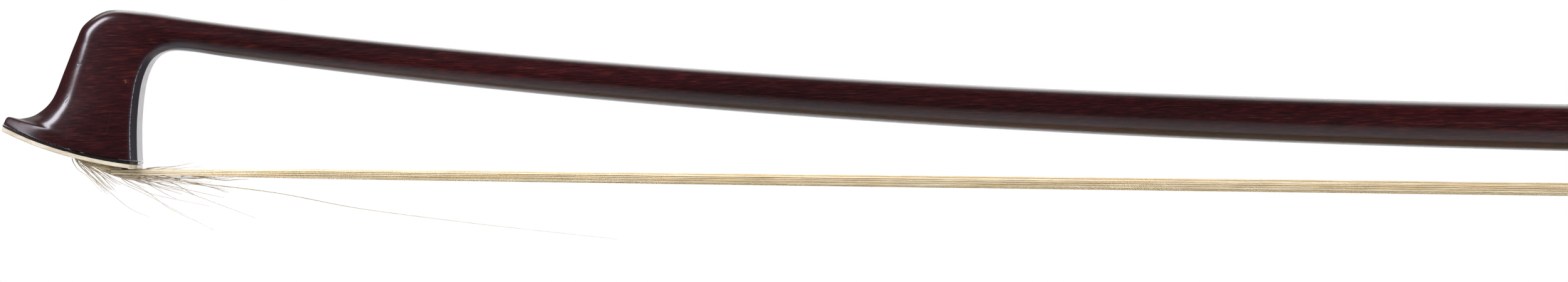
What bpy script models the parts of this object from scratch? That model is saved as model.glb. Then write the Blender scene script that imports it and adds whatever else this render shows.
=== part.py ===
"""Violin bow: a cambered wooden stick with its head, the hair, the frog and the screw with its button.

The stick's handle lies along X. The head points to -X, the button to +X, and the hair is under the
stick, towards -Z. The origin is on the stick's axis, in the middle of the thumb leather.
Distances named "along" are counted from the tip of the head's nose towards the button.
"""

import math
import random

import bmesh
import bpy
from mathutils import Matrix, Vector

MM = 0.001

# Clearances
SEAM = 0.12 * MM
CLEARANCE = 0.30 * MM

# Stick
STICK_LENGTH = 730.0 * MM
HANDLE_STRAIGHT = 113.0 * MM
CAMBER_DROP = 34.3 * MM
CAMBER_LENGTH = 176.4 * MM
NECK_ALONG = 28.0 * MM
NECK_DIAMETER = 5.1 * MM
HANDLE_DIAMETER = 8.6 * MM
TAPER_LENGTH = 190.0 * MM
HANDLE_FLATS = 8.5 * MM
OCTAGON_LENGTH = 116.0 * MM
OCTAGON_BLEND = 8.0 * MM
NIPPLE_DIAMETER = 5.8 * MM
NIPPLE_LENGTH = 1.6 * MM
RING_POINTS = 32
STICK_STATIONS = 20

# Head, drawn from the middle of the neck: x towards the button, z away from the hair
HEAD_START = 8.0 * MM
HEAD_FRONT = [
    Vector((x * MM, z * MM))
    for x, z in (
        (1.5, 2.66),
        (-5.5, 2.72),
        (-11.0, 2.15),
        (-14.4, -0.5),
        (-15.5, -3.6),
        (-16.6, -8.2),
        (-17.9, -13.1),
        (-20.0, -15.75),
        (-22.4, -16.85),
        (-24.6, -16.9),
    )
]
HEAD_BACK = [
    Vector((x * MM, z * MM))
    for x, z in (
        (3.0, -2.55),
        (-0.4, -2.95),
        (-2.5, -4.4),
        (-3.5, -6.8),
        (-3.85, -10.0),
        (-3.6, -15.0),
        (-2.9, -19.8),
    )
]
HEAD_STATIONS = 24
HEAD_WIDTH = 10.0 * MM
BACK_FLAT = 5.5 * MM
BACK_CHAMFER = 1.2 * MM
RIDGE_FLAT = 0.3 * MM
BEVEL_DEPTHS = [
    Vector((depth * MM, 0)) for depth in (0.8, 0.8, 0.8, 0.85, 1.2, 1.55, 2.0, 2.8, 4.0, 5.3, 5.2)
]
CHEEK_TAPER = 0.70
NOSE_WIDTH = 2.0 * MM

# Face of the head: an arc, lowest near the heel, under the liner
FACE_HEEL = -2.6 * MM
FACE_NOSE = -25.1 * MM
FACE_LOW_X = -4.5 * MM
FACE_LOW_Z = -21.68 * MM
FACE_RADIUS = 69.5 * MM
LINER_NOSE = 0.35 * MM
LINER_HEEL = 0.62 * MM
PLATE_NOSE = 0.48 * MM
PLATE_HEEL = 0.62 * MM

# Mortise in the head, its knot and its plug
TIP_MORTISE_FRONT = -13.9 * MM
TIP_MORTISE_BACK = -6.4 * MM
TIP_MORTISE_WIDTH = 6.6 * MM
TIP_MORTISE_TOP = -15.2 * MM
TIP_KNOT_DEPTH = 2.6 * MM
TIP_KNOT_LENGTH = 2.2 * MM
TIP_PLUG_FRONT = -11.6 * MM

# Hair
HAIR_THICKNESS = 0.8 * MM
HAIR_LOOSE_THICKNESS = 1.3 * MM
HAIR_WIDTH_TIP = 7.0 * MM
HAIR_WIDTH_FROG = 10.2 * MM
HAIR_MORTISE_WIDTH = 5.6 * MM
HAIR_RIDGES = 12
HAIR_GROOVE = 0.14 * MM
HAIR_HEEL = Vector((-2.8 * MM, -22.76 * MM))

# Broken hairs under the ribbon
BROKEN_COUNT = 25
BROKEN_THICKNESS = 0.22 * MM
BROKEN_REACH = (7.0 * MM, 31.0 * MM)
BROKEN_DROP = (1.5 * MM, 9.5 * MM)
BROKEN_STEPS = 4
BROKEN_BACKING = Vector((2.0 * MM, 5.8 * MM, 0.4 * MM))
BROKEN_FRONT = -9.5 * MM
STRAY_REACH = 86.0 * MM
STRAY_DROP = 13.5 * MM

# Handle: leather and lapping
LEATHER_LENGTH = 24.0 * MM
LEATHER_WALL = 0.7 * MM
LEATHER_SKIVE = 2.5 * MM
STRIP_WIDTH = 1.4 * MM
STRIP_THICKNESS = 0.35 * MM
LAPPING_PITCH = 3.6 * MM
LAPPING_TURNS = 18
POINTS_A_TURN = 16

# Frog, drawn from its front end: x towards the button, z from the stick's axis
FROG_LENGTH = 47.0 * MM
FROG_TO_STICK_END = 6.0 * MM
SLACKEN_TRAVEL = 4.0 * MM
TIGHTEN_TRAVEL = 3.0 * MM
FROG_TOP = -2.3 * MM
FROG_BOTTOM = -20.3 * MM
FROG_WIDTH_TOP = 11.4 * MM
FROG_WIDTH_BOTTOM = 13.0 * MM
THUMB_LIP = 2.0 * MM
THUMB_LIP_FLAT = 0.9 * MM
THUMB_ROOF = -6.2 * MM
THUMB_ARC_STEPS = 12
UNDERSLIDE_WALL = 0.35 * MM
UNDERSLIDE_TOP = -2.6 * MM

# Ferrule and spread wedge
FERRULE_LENGTH = 11.5 * MM
FERRULE_WIDTH = 12.6 * MM
FERRULE_BOTTOM = -20.1 * MM
FERRULE_SHOULDER = -16.6 * MM
FERRULE_TOP = -13.3 * MM
FERRULE_WALL = 0.6 * MM
FERRULE_CORNER = 1.3 * MM
TONGUE_BOTTOM = -16.8 * MM
TONGUE_SETBACK = 0.9 * MM
WEDGE_LENGTH = 5.8 * MM
WEDGE_WIDTH = 9.4 * MM
WEDGE_FRONT_HEIGHT = 1.0 * MM
WEDGE_BACK_HEIGHT = 0.5 * MM

# Slide, heel plates and mortise of the frog
SLIDE_LENGTH = 25.4 * MM
SLIDE_WIDTH_OUTER = 8.2 * MM
SLIDE_WIDTH_INNER = 9.6 * MM
PEARL_THICKNESS = 0.9 * MM
BACKING_THICKNESS = 0.65 * MM
HEEL_WALL = 0.6 * MM
HEEL_CHAMFER = 3.0 * MM
HEEL_PIN_RADIUS = 0.45 * MM
HEEL_PIN_LENGTH = 3.0 * MM
FROG_MORTISE_LENGTH = 8.5 * MM
FROG_MORTISE_WIDTH = 8.0 * MM
FROG_MORTISE_TOP = -12.6 * MM
FROG_MORTISE_WALL = 1.6 * MM
FROG_KNOT_LENGTH = 2.6 * MM
FROG_KNOT_HEIGHT = 2.8 * MM
HAIR_WALL_CLEARANCE = 0.5 * MM

# Eyes of the frog
EYE_ALONG = 24.0 * MM
EYE_HEIGHT = -11.2 * MM
EYE_RADIUS = 3.1 * MM
EYE_RING_WALL = 0.55 * MM
EYE_DEPTH = 1.1 * MM

# Screw and eyelet
SCREW_DIAMETER = 3.1 * MM
SCREW_REACH = 43.0 * MM
EYELET_ALONG = 25.0 * MM
EYELET_LENGTH = 4.0 * MM
EYELET_WIDTH = 4.8 * MM
EYELET_TOP = 2.7 * MM
EYELET_STEM_RADIUS = 1.3 * MM
EYELET_STEM_END = -8.4 * MM

# Button
BUTTON_FLATS = 8.6 * MM
BUTTON_LENGTH = 14.4 * MM
COLLAR_LENGTH = 3.4 * MM
COLLAR_CHAMFER = 0.35 * MM
BUTTON_WAIST = 0.25 * MM
CORE_SPIGOT_LENGTH = 1.7 * MM
BUTTON_EYE_RADIUS = 2.3 * MM
BUTTON_EYE_DEPTH = 0.7 * MM

# Places that follow from the sizes
HANDLE_START = STICK_LENGTH - HANDLE_STRAIGHT
FROG_FRONT = STICK_LENGTH - FROG_TO_STICK_END - FROG_LENGTH
LEATHER_END = FROG_FRONT + THUMB_LIP - SLACKEN_TRAVEL - CLEARANCE
LEATHER_START = LEATHER_END - LEATHER_LENGTH
LAPPING_END = LEATHER_START - CLEARANCE
ORIGIN_ALONG = (LEATHER_START + LEATHER_END) / 2
OCTAGON_START = STICK_LENGTH - OCTAGON_LENGTH
HAIR_AT_FERRULE = FERRULE_BOTTOM + FERRULE_WALL + CLEARANCE + HAIR_THICKNESS / 2
SLIDE_TOP = FROG_BOTTOM + PEARL_THICKNESS + SEAM + BACKING_THICKNESS
HAIR_IN_FROG = SLIDE_TOP + CLEARANCE + HAIR_THICKNESS / 2
SLIDE_FRONT = FERRULE_LENGTH + CLEARANCE
SLIDE_BACK = SLIDE_FRONT + SLIDE_LENGTH
MORTISE_BACK = SLIDE_BACK - FROG_MORTISE_WALL
MORTISE_FRONT = MORTISE_BACK - FROG_MORTISE_LENGTH

COLLECTION = bpy.data.collections.new("violin_bow")
CUTTERS = bpy.data.collections.new("cutters")


def clear_scene():
    for item in list(bpy.data.objects):
        bpy.data.objects.remove(item, do_unlink=True)
    bpy.context.scene.collection.children.link(COLLECTION)
    bpy.context.scene.collection.children.link(CUTTERS)


def material(name, color, roughness, metallic=0.0):
    found = bpy.data.materials.get(name)
    if found:
        return found
    made = bpy.data.materials.new(name)
    made.use_nodes = True
    shader = made.node_tree.nodes["Principled BSDF"]
    shader.inputs["Base Color"].default_value = (*color, 1.0)
    shader.inputs["Roughness"].default_value = roughness
    shader.inputs["Metallic"].default_value = metallic
    return made


def pernambuco():
    return material("pernambuco", (0.10, 0.018, 0.012), 0.28)


def ebony():
    return material("ebony", (0.012, 0.010, 0.010), 0.35)


def bone():
    return material("bone", (0.80, 0.72, 0.56), 0.35)


def horsehair():
    return material("horsehair", (0.78, 0.66, 0.44), 0.5)


def bound_knot():
    return material("bound_knot", (0.35, 0.12, 0.06), 0.7)


def maple():
    return material("maple", (0.62, 0.42, 0.24), 0.6)


def dark_strip():
    return material("dark_strip", (0.035, 0.022, 0.018), 0.4)


def light_strip():
    return material("light_strip", (0.66, 0.52, 0.30), 0.4)


def leather():
    return material("leather", (0.07, 0.035, 0.022), 0.6)


def silver():
    return material("silver", (0.78, 0.77, 0.74), 0.25, 1.0)


def pearl():
    return material("pearl", (0.78, 0.80, 0.78), 0.2)


def brass():
    return material("brass", (0.72, 0.52, 0.22), 0.3, 1.0)


def steel():
    return material("steel", (0.55, 0.55, 0.56), 0.35, 1.0)


# Placing and joining


def x_at(along):
    return along - ORIGIN_ALONG


def add_object(name, mesh, look, matrix=None):
    made = bpy.data.objects.new(name, mesh)
    COLLECTION.objects.link(made)
    if matrix is not None:
        made.matrix_world = matrix
    mesh.materials.clear()
    mesh.materials.append(look)
    return made


def shade(mesh, angle=35.0):
    mesh.shade_smooth()
    mesh.set_sharp_from_angle(angle=math.radians(angle))


def mesh_from(name, work):
    bmesh.ops.recalc_face_normals(work, faces=work.faces)
    mesh = bpy.data.meshes.new(name)
    work.to_mesh(mesh)
    work.free()
    shade(mesh)
    return mesh


def make_cutter(item):
    COLLECTION.objects.unlink(item)
    CUTTERS.objects.link(item)
    item.hide_render = True
    item.display_type = "WIRE"
    return item


def boolean(target, tool, operation="DIFFERENCE"):
    modifier = target.modifiers.new(tool.name, "BOOLEAN")
    modifier.operation = operation
    modifier.solver = "EXACT"
    modifier.object = tool
    if tool.name in COLLECTION.objects:
        make_cutter(tool)
    return target


def box(name, low, high, look, matrix=None):
    """A box between two corners, in the frame that matrix gives."""
    low, high = Vector(low), Vector(high)
    work = bmesh.new()
    sized = Matrix.Translation((low + high) / 2) @ Matrix.Diagonal((high - low).to_4d())
    bmesh.ops.create_cube(work, size=1.0, matrix=sized)
    return add_object(name, mesh_from(name, work), look, matrix)


def rod(name, start, end, radius, look, segments=24, matrix=None):
    """A round bar from start to end."""
    start, end = Vector(start), Vector(end)
    turn = (end - start).to_track_quat("Z", "Y").to_matrix().to_4x4()
    work = bmesh.new()
    bmesh.ops.create_cone(
        work,
        cap_ends=True,
        segments=segments,
        radius1=radius,
        radius2=radius,
        depth=(end - start).length,
        matrix=Matrix.Translation((start + end) / 2) @ turn,
    )
    return add_object(name, mesh_from(name, work), look, matrix)


def loft(name, rings, look, closed=False, strips=False):
    """A solid through rings of equal count. A closed loft joins its last ring to its first."""
    work = bmesh.new()
    loops = [[work.verts.new(point) for point in ring] for ring in rings]
    count = len(rings[0])
    pairs = list(zip(loops, loops[1:]))
    if closed:
        pairs.append((loops[-1], loops[0]))
    for lower, upper in pairs:
        for i in range(count):
            j = (i + 1) % count
            work.faces.new((lower[i], lower[j], upper[j], upper[i]))
    if strips:
        cap_across(work, loops[0])
        cap_across(work, loops[-1])
    elif not closed:
        work.faces.new(loops[0])
        work.faces.new(loops[-1])
    return add_object(name, mesh_from(name, work), look)


def cap_across(work, loop):
    """Close a ring with strips that run straight across, from each point to its mirror image.

    The ring's two ends are flat: five points in line at the back, and three at the front.
    """
    half = len(loop) // 2
    work.faces.new(loop[-3:] + loop[:4])
    for i in range(3, half - 2):
        work.faces.new((loop[i], loop[i + 1], loop[-i - 1], loop[-i]))
    work.faces.new(loop[half - 2 : half + 3])


def turned(name, profile, look, matrix, steps=28):
    """A turned piece from a profile of (radius, height), drawn down its outer side."""
    mesh = bpy.data.meshes.new(name)
    edges = [(i, i + 1) for i in range(len(profile) - 1)]
    if profile[0][0] > 0:
        edges.append((len(profile) - 1, 0))
    mesh.from_pydata([(r, 0, z) for r, z in profile], edges, [])
    made = add_object(name, mesh, look, matrix)
    screw = made.modifiers.new("turn", "SCREW")
    screw.axis = "Z"
    screw.steps = steps
    screw.render_steps = steps
    screw.use_merge_vertices = True
    screw.merge_threshold = 0.01 * MM
    return made


def plate(name, outlines, thickness, matrix, look):
    """A flat piece from its outline, with any holes, as thick as thickness on both sides together."""
    curve = bpy.data.curves.new(name, "CURVE")
    curve.dimensions = "2D"
    curve.fill_mode = "BOTH"
    curve.extrude = thickness / 2
    for outline in outlines:
        spline = curve.splines.new("POLY")
        spline.points.add(len(outline) - 1)
        spline.use_cyclic_u = True
        for point, (x, y) in zip(spline.points, outline):
            point.co = (x, y, 0.0, 1.0)
    sketch = bpy.data.objects.new(name + "_sketch", curve)
    COLLECTION.objects.link(sketch)
    graph = bpy.context.evaluated_depsgraph_get()
    mesh = bpy.data.meshes.new_from_object(sketch.evaluated_get(graph))
    bpy.data.objects.remove(sketch, do_unlink=True)
    work = bmesh.new()
    work.from_mesh(mesh)
    bmesh.ops.remove_doubles(work, verts=work.verts, dist=0.001 * MM)
    bpy.data.meshes.remove(mesh)
    return add_object(name, mesh_from(name, work), look, matrix)


def side_on(x=0.0, y=0.0, z=0.0):
    """The frame of an outline drawn in X and Z, seen from -Y."""
    return Matrix.Translation((x, y, z)) @ Matrix.Rotation(math.pi / 2, 4, "X")


def end_on(x=0.0):
    """The frame of an outline drawn in Y and Z, thickened along X."""
    turn = Matrix(((0, 0, 1, 0), (1, 0, 0, 0), (0, 1, 0, 0), (0, 0, 0, 1)))
    return Matrix.Translation((x, 0, 0)) @ turn


def smooth_step(value):
    value = min(max(value, 0.0), 1.0)
    return value * value * (3 - 2 * value)


def mix(first, second, share):
    return first + (second - first) * share


def spline_point(points, share):
    """A point on the smooth curve through points, with share from 0 to 1 over all of it."""
    spot = min(share * (len(points) - 1), len(points) - 1.000001)
    i = int(spot)
    t = spot - i
    p1, p2 = points[i], points[i + 1]
    p0 = points[i - 1] if i > 0 else p1 * 2 - p2
    p3 = points[i + 2] if i + 2 < len(points) else p2 * 2 - p1
    slope1, slope2 = (p2 - p0) / 2, (p3 - p1) / 2
    return (
        p1 * (2 * t**3 - 3 * t**2 + 1)
        + slope1 * (t**3 - 2 * t**2 + t)
        + p2 * (3 * t**2 - 2 * t**3)
        + slope2 * (t**3 - t**2)
    )


# The stick's line and section


def axis_height(along):
    """Height of the stick's axis over the handle's axis. The camber runs out at the handle."""
    if along >= HANDLE_START:
        return 0.0
    end = math.exp(-HANDLE_START / CAMBER_LENGTH)
    left = (HANDLE_START - along) / CAMBER_LENGTH
    return CAMBER_DROP * (math.exp(-along / CAMBER_LENGTH) - end * (1 + left))


def axis_angle(along):
    """Slope of the stick's axis."""
    if along >= HANDLE_START:
        return 0.0
    end = math.exp(-HANDLE_START / CAMBER_LENGTH)
    return math.atan(-CAMBER_DROP / CAMBER_LENGTH * (math.exp(-along / CAMBER_LENGTH) - end))


def axis_frame(along):
    """The frame on the stick's axis: x along it, z away from the hair."""
    place = Matrix.Translation((x_at(along), 0, axis_height(along)))
    return place @ Matrix.Rotation(-axis_angle(along), 4, "Y")


def ring_angle(i, count=RING_POINTS):
    """Ring points start at the side of the hair and go round by +Y."""
    return 2 * math.pi * i / count


def octagon_radius(flats, angle):
    """Distance from the axis to an octagon with a flat side towards the hair."""
    corner = math.radians(45)
    within = (angle + corner / 2) % corner - corner / 2
    return flats / 2 / math.cos(within)


def stick_radius(along, angle):
    thin = math.exp(-(along - NECK_ALONG) / TAPER_LENGTH)
    round_radius = mix(HANDLE_DIAMETER, NECK_DIAMETER, thin) / 2
    share = smooth_step((along - OCTAGON_START) / OCTAGON_BLEND)
    return mix(round_radius, octagon_radius(HANDLE_FLATS, angle), share)


def polar(radius, angle):
    return Vector((0, radius * math.sin(angle), -radius * math.cos(angle)))


def stick_ring(along, grow=0.0, count=RING_POINTS):
    frame = axis_frame(along)
    angles = [ring_angle(i, count) for i in range(count)]
    return [frame @ polar(stick_radius(along, angle) + grow, angle) for angle in angles]


def octagon_ring(along, flats):
    angles = [ring_angle(i) for i in range(RING_POINTS)]
    return [Vector((x_at(along), 0, 0)) + polar(octagon_radius(flats, a), a) for a in angles]


def round_ring(along, radius):
    angles = [ring_angle(i) for i in range(RING_POINTS)]
    return [Vector((x_at(along), 0, 0)) + polar(radius, angle) for angle in angles]


# The head


def face_height(x):
    """Height of the arc on which the liner ends and the tip plate starts."""
    return FACE_LOW_Z + (x - FACE_LOW_X) ** 2 / (2 * FACE_RADIUS)


def face_share(x):
    """0 at the heel of the face, 1 at the nose."""
    return (FACE_HEEL - x) / (FACE_HEEL - FACE_NOSE)


def liner_thickness(x):
    return mix(LINER_HEEL, LINER_NOSE, face_share(x))


def plate_thickness(x):
    return mix(PLATE_HEEL, PLATE_NOSE, face_share(x))


def wood_face(x):
    """Underside of the wood, on which the liner lies."""
    return face_height(x) + liner_thickness(x) + SEAM


def head_half_ring(depth, width, back_flat, bevel, front_width, nose_flat):
    """Half of a head section as (distance from the back, half width), from back to front."""
    half = RING_POINTS // 2
    chamfer = min(BACK_CHAMFER, depth / 4)
    bevel = min(bevel, depth / 4)
    points = [(0.0, 0.0), (0.0, back_flat / 4), (0.0, back_flat / 2)]
    points += [(chamfer / 2, (back_flat + width) / 4), (chamfer, width / 2)]
    cheek_steps = half - 8
    for i in range(1, cheek_steps + 1):
        share = i / cheek_steps
        reach = mix(chamfer, depth - bevel, share)
        points.append((reach, mix(width, front_width, share**2.2) / 2))
    for share in (1 / 3, 2 / 3, 1.0):
        points.append((depth - bevel * (1 - share), mix(front_width, nose_flat, share) / 2))
    points.append((depth, 0.0))
    return points


def head_ring(share):
    """A section of the head. share is 0 where the head grows out of the stick and 1 at its face."""
    start = NECK_ALONG + HEAD_START
    to_head = axis_frame(NECK_ALONG).inverted() @ axis_frame(start)
    radius = stick_radius(start, 0.0)
    top, low = to_head @ Vector((0, 0, radius)), to_head @ Vector((0, 0, -radius))
    nose = Vector((FACE_NOSE, wood_face(FACE_NOSE)))
    heel = Vector((FACE_HEEL, wood_face(FACE_HEEL)))
    front = spline_point([Vector((top.x, top.z))] + HEAD_FRONT + [nose], share)
    back = spline_point([Vector((low.x, low.z))] + HEAD_BACK + [heel], share)
    depth = (front - back).length
    along = (front - back).normalized()
    base = smooth_step((share - 0.86) / 0.14)
    width = mix(2 * radius, HEAD_WIDTH, smooth_step(share) ** 0.9)
    section = head_half_ring(
        depth,
        width,
        mix(width * 0.55, BACK_FLAT, share),
        spline_point(BEVEL_DEPTHS, share).x,
        width * CHEEK_TAPER,
        mix(RIDGE_FLAT, NOSE_WIDTH, base),
    )
    headed = smooth_step(share / 0.42)
    frame = axis_frame(NECK_ALONG)
    ring = []
    for i in range(RING_POINTS):
        step = min(i, RING_POINTS - i)
        side = 1 if i <= RING_POINTS // 2 else -1
        angle = ring_angle(step)
        reach = mix(depth * (1 - math.cos(angle)) / 2, section[step][0], headed)
        across = mix(radius * math.sin(angle), section[step][1], headed)
        spot = back + along * reach
        on_face = Vector((spot.x, wood_face(spot.x)))
        spot = spot.lerp(on_face, base**3)
        ring.append(frame @ Vector((spot.x, side * across, spot.y)))
    return ring


def make_stick():
    rings = [head_ring(1 - i / HEAD_STATIONS) for i in range(HEAD_STATIONS)]
    start = NECK_ALONG + HEAD_START
    for i in range(STICK_STATIONS):
        rings.append(stick_ring(mix(start, OCTAGON_START, (i / STICK_STATIONS) ** 1.15)))
    for i in range(5):
        rings.append(stick_ring(OCTAGON_START + OCTAGON_BLEND * i / 4))
    rings.append(stick_ring(STICK_LENGTH))
    rings.append(round_ring(STICK_LENGTH, NIPPLE_DIAMETER / 2))
    rings.append(round_ring(STICK_LENGTH + NIPPLE_LENGTH, NIPPLE_DIAMETER / 2))
    stick = loft("stick", rings, pernambuco(), strips=True)
    bore_end = x_at(STICK_LENGTH - SCREW_REACH) - CLEARANCE
    bore = rod(
        "screw_bore",
        (bore_end, 0, 0),
        (x_at(STICK_LENGTH + 2 * NIPPLE_LENGTH), 0, 0),
        SCREW_DIAMETER / 2 + CLEARANCE,
        pernambuco(),
        segments=20,
    )
    eyelet = x_at(FROG_FRONT + EYELET_ALONG)
    half_length = EYELET_LENGTH / 2 + CLEARANCE
    half_width = EYELET_WIDTH / 2 + CLEARANCE
    slot = box(
        "eyelet_slot",
        (eyelet - half_length - SLACKEN_TRAVEL, -half_width, -HANDLE_FLATS),
        (eyelet + half_length + TIGHTEN_TRAVEL, half_width, EYELET_TOP + CLEARANCE),
        pernambuco(),
    )
    boolean(stick, tip_mortise())
    boolean(stick, slot)
    boolean(stick, bore)
    return stick


def tip_mortise():
    """The cutter of the mortise in the head, which goes through the plate and the liner too."""
    found = bpy.data.objects.get("tip_mortise")
    if found:
        return found
    half = TIP_MORTISE_WIDTH / 2
    low = (TIP_MORTISE_FRONT, -half, FACE_LOW_Z - 3 * PLATE_HEEL)
    high = (TIP_MORTISE_BACK, half, TIP_MORTISE_TOP)
    return box("tip_mortise", low, high, pernambuco(), axis_frame(NECK_ALONG))


def face_ring(height):
    """The outline of the head's face, at the height that a function of x gives."""
    nose, heel = wood_face(FACE_NOSE), wood_face(FACE_HEEL)
    depth = math.hypot(FACE_HEEL - FACE_NOSE, heel - nose)
    bevel = BEVEL_DEPTHS[-1].x
    section = head_half_ring(depth, HEAD_WIDTH, BACK_FLAT, bevel, HEAD_WIDTH * CHEEK_TAPER, NOSE_WIDTH)
    frame = axis_frame(NECK_ALONG)
    ring = []
    for i in range(RING_POINTS):
        step = min(i, RING_POINTS - i)
        side = 1 if i <= RING_POINTS // 2 else -1
        x = mix(FACE_HEEL, FACE_NOSE, section[step][0] / depth)
        ring.append(frame @ Vector((x, side * section[step][1], height(x))))
    return ring


def make_head_trim():
    liner_rings = [face_ring(face_height), face_ring(lambda x: face_height(x) + liner_thickness(x))]
    liner = loft("head_liner", liner_rings, ebony(), strips=True)
    plate_rings = [
        face_ring(lambda x: face_height(x) - SEAM - plate_thickness(x)),
        face_ring(lambda x: face_height(x) - SEAM),
    ]
    tip_plate = loft("tip_plate", plate_rings, bone(), strips=True)
    for piece in (liner, tip_plate):
        boolean(piece, tip_mortise())


def knot(name, centre, half_sizes, matrix=None):
    """A bound end of the hair: an oval drum that stands upright."""
    work = bmesh.new()
    sized = Matrix.Translation(centre) @ Matrix.Diagonal(Vector(half_sizes).to_4d())
    bmesh.ops.create_cone(
        work, cap_ends=True, segments=20, radius1=1.0, radius2=1.0, depth=2.0, matrix=sized
    )
    return add_object(name, mesh_from(name, work), bound_knot(), matrix)


def tip_hair_x():
    return TIP_MORTISE_FRONT + HAIR_THICKNESS


def tip_knot_base():
    return TIP_MORTISE_TOP - CLEARANCE - TIP_KNOT_LENGTH


def make_tip_fittings():
    frame = axis_frame(NECK_ALONG)
    half_height = TIP_KNOT_LENGTH / 2
    centre = (
        TIP_MORTISE_FRONT + TIP_KNOT_DEPTH / 2 + CLEARANCE,
        0,
        tip_knot_base() + half_height,
    )
    half_width = TIP_MORTISE_WIDTH / 2 - CLEARANCE
    knot("tip_knot", centre, (TIP_KNOT_DEPTH / 2, half_width, half_height), frame)
    box(
        "tip_plug",
        (TIP_PLUG_FRONT + CLEARANCE, -half_width, face_height(TIP_PLUG_FRONT) - SEAM),
        (TIP_MORTISE_BACK - CLEARANCE, half_width, tip_knot_base() - CLEARANCE),
        maple(),
        frame,
    )


# Hair


def hair_route():
    """The hair from its knot in the head to its knot in the frog, as (middle, width, thickness)."""
    frame = axis_frame(NECK_ALONG)
    inside, tip = HAIR_MORTISE_WIDTH, HAIR_WIDTH_TIP
    x = tip_hair_x()
    heights = (tip_knot_base() - CLEARANCE, face_height(x) + SEAM)
    tight = HAIR_THICKNESS
    route = [(frame @ Vector((x, 0, z)), inside, tight) for z in heights]
    for share in (0.14, 0.32, 0.55, 0.78, 1.0):
        under_x = mix(x, HAIR_HEEL.x, share)
        gap = HAIR_THICKNESS / 2 + SEAM + plate_thickness(under_x)
        drop = gap * smooth_step(share / 0.32 + 0.15)
        spot = frame @ Vector((under_x, 0, face_height(under_x) - drop))
        route.append((spot, mix(inside, tip, share), tight))
    front = x_at(FROG_FRONT)
    full = HAIR_WIDTH_FROG
    heel = route[-1][0]
    entry = Vector((front, 0, HAIR_AT_FERRULE))
    for share in (0.04, 0.5, 0.9):
        route.append((heel.lerp(entry, share), mix(tip, full, share**0.5), HAIR_LOOSE_THICKNESS))
    knot_x = front + MORTISE_BACK - HAIR_WALL_CLEARANCE - HAIR_THICKNESS / 2
    narrow = FROG_MORTISE_WIDTH - 4 * CLEARANCE
    route += [
        (entry, full, tight),
        (Vector((front + WEDGE_LENGTH + CLEARANCE, 0, HAIR_AT_FERRULE)), full, tight),
        (Vector((front + FERRULE_LENGTH - CLEARANCE, 0, HAIR_IN_FROG)), full, tight),
        (Vector((front + MORTISE_FRONT, 0, HAIR_IN_FROG)), narrow, tight),
        (Vector((knot_x - tight, 0, HAIR_IN_FROG)), narrow, tight),
        (Vector((knot_x, 0, HAIR_IN_FROG + tight)), narrow, tight),
        (Vector((knot_x, 0, frog_knot_base() - CLEARANCE)), narrow, tight),
    ]
    return route


def hair_ring(before, spot, after, width, thickness):
    """A section of the ribbon, with a ridge for each lock of hair on both faces."""
    tangent = (after - before).normalized()
    up = Vector((-tangent.z, 0, tangent.x))
    count = 2 * HAIR_RIDGES
    lower, upper = [], []
    for i in range(count + 1):
        height = thickness / 2 - (0 if i % 2 else HAIR_GROOVE)
        across = Vector((0, width * (i / count - 0.5), 0))
        lower.append(spot + across - up * height)
        upper.append(spot + across + up * height)
    return lower + upper[::-1]


def make_hair():
    route = hair_route()
    spots = [spot for spot, _, _ in route]
    rings = []
    for i, (spot, width, thickness) in enumerate(route):
        before = spots[max(i - 1, 0)]
        after = spots[min(i + 1, len(spots) - 1)]
        rings.append(hair_ring(before, spot, after, width, thickness))
    loft("hair_ribbon", rings, horsehair())


def make_broken_hairs():
    """Broken hairs in one fan, on a slice of the bundle that they come out of."""
    chance = random.Random(7)
    frame = axis_frame(NECK_ALONG)
    top = face_height(BROKEN_FRONT) - plate_thickness(BROKEN_FRONT) - HAIR_THICKNESS - 3 * SEAM
    low = top - BROKEN_BACKING.z
    back = BROKEN_FRONT + BROKEN_BACKING.x
    work = bmesh.new()
    columns = BROKEN_COUNT
    section = ((BROKEN_FRONT, low), (back, low), (back, top), (BROKEN_FRONT, top))
    grid = {}
    for i in range(2 * columns + 1):
        y = BROKEN_BACKING.y * (i / (2 * columns) - 0.5)
        for j, (x, z) in enumerate(section):
            grid[i, j] = work.verts.new(frame @ Vector((x, y, z)))
    for i in range(2 * columns):
        for j in range(4):
            k = (j + 1) % 4
            corners = (grid[i, j], grid[i + 1, j], grid[i + 1, k], grid[i, k])
            if j == 1 and i % 2:
                grow_hair(work, corners, frame, (i + 0.5) / columns - 1, chance)
            else:
                work.faces.new(corners)
    for i in (0, 2 * columns):
        work.faces.new([grid[i, j] for j in range(4)])
    add_object("broken_hairs", mesh_from("broken_hairs", work), horsehair())


def grow_hair(work, root, frame, side, chance):
    """One broken hair, grown from a patch of its backing. Each stays in its own upright plane.

    side is -1 at one edge of the fan and 1 at the other. The hair in the middle is the long stray.
    """
    stray = abs(side) < 1.0 / BROKEN_COUNT
    reach = mix(*BROKEN_REACH, chance.random() ** 1.4)
    drop = mix(*BROKEN_DROP, chance.random())
    if stray:
        reach, drop = STRAY_REACH, STRAY_DROP
    steps = 3 * BROKEN_STEPS if stray else BROKEN_STEPS
    middle = frame.inverted() @ (sum((corner.co for corner in root), Vector()) / 4)
    last = list(root)
    half = BROKEN_THICKNESS / 2
    rise = math.tan(-axis_angle(NECK_ALONG))
    for i in range(1, steps + 1):
        share = i / steps
        spot = Vector((
            middle.x + reach * share,
            middle.y * (1 + 0.9 * share),
            middle.z - drop * share**0.8 + (reach * share * rise * 0.8 if stray else 0),
        ))
        offsets = ((-half, -half), (half, -half), (half, half), (-half, half))
        ring = [work.verts.new(frame @ (spot + Vector((0, y, z)))) for y, z in offsets]
        for j in range(4):
            k = (j + 1) % 4
            work.faces.new((last[j], last[k], ring[k], ring[j]))
        last = ring
    work.faces.new(last)


# Handle


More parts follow.
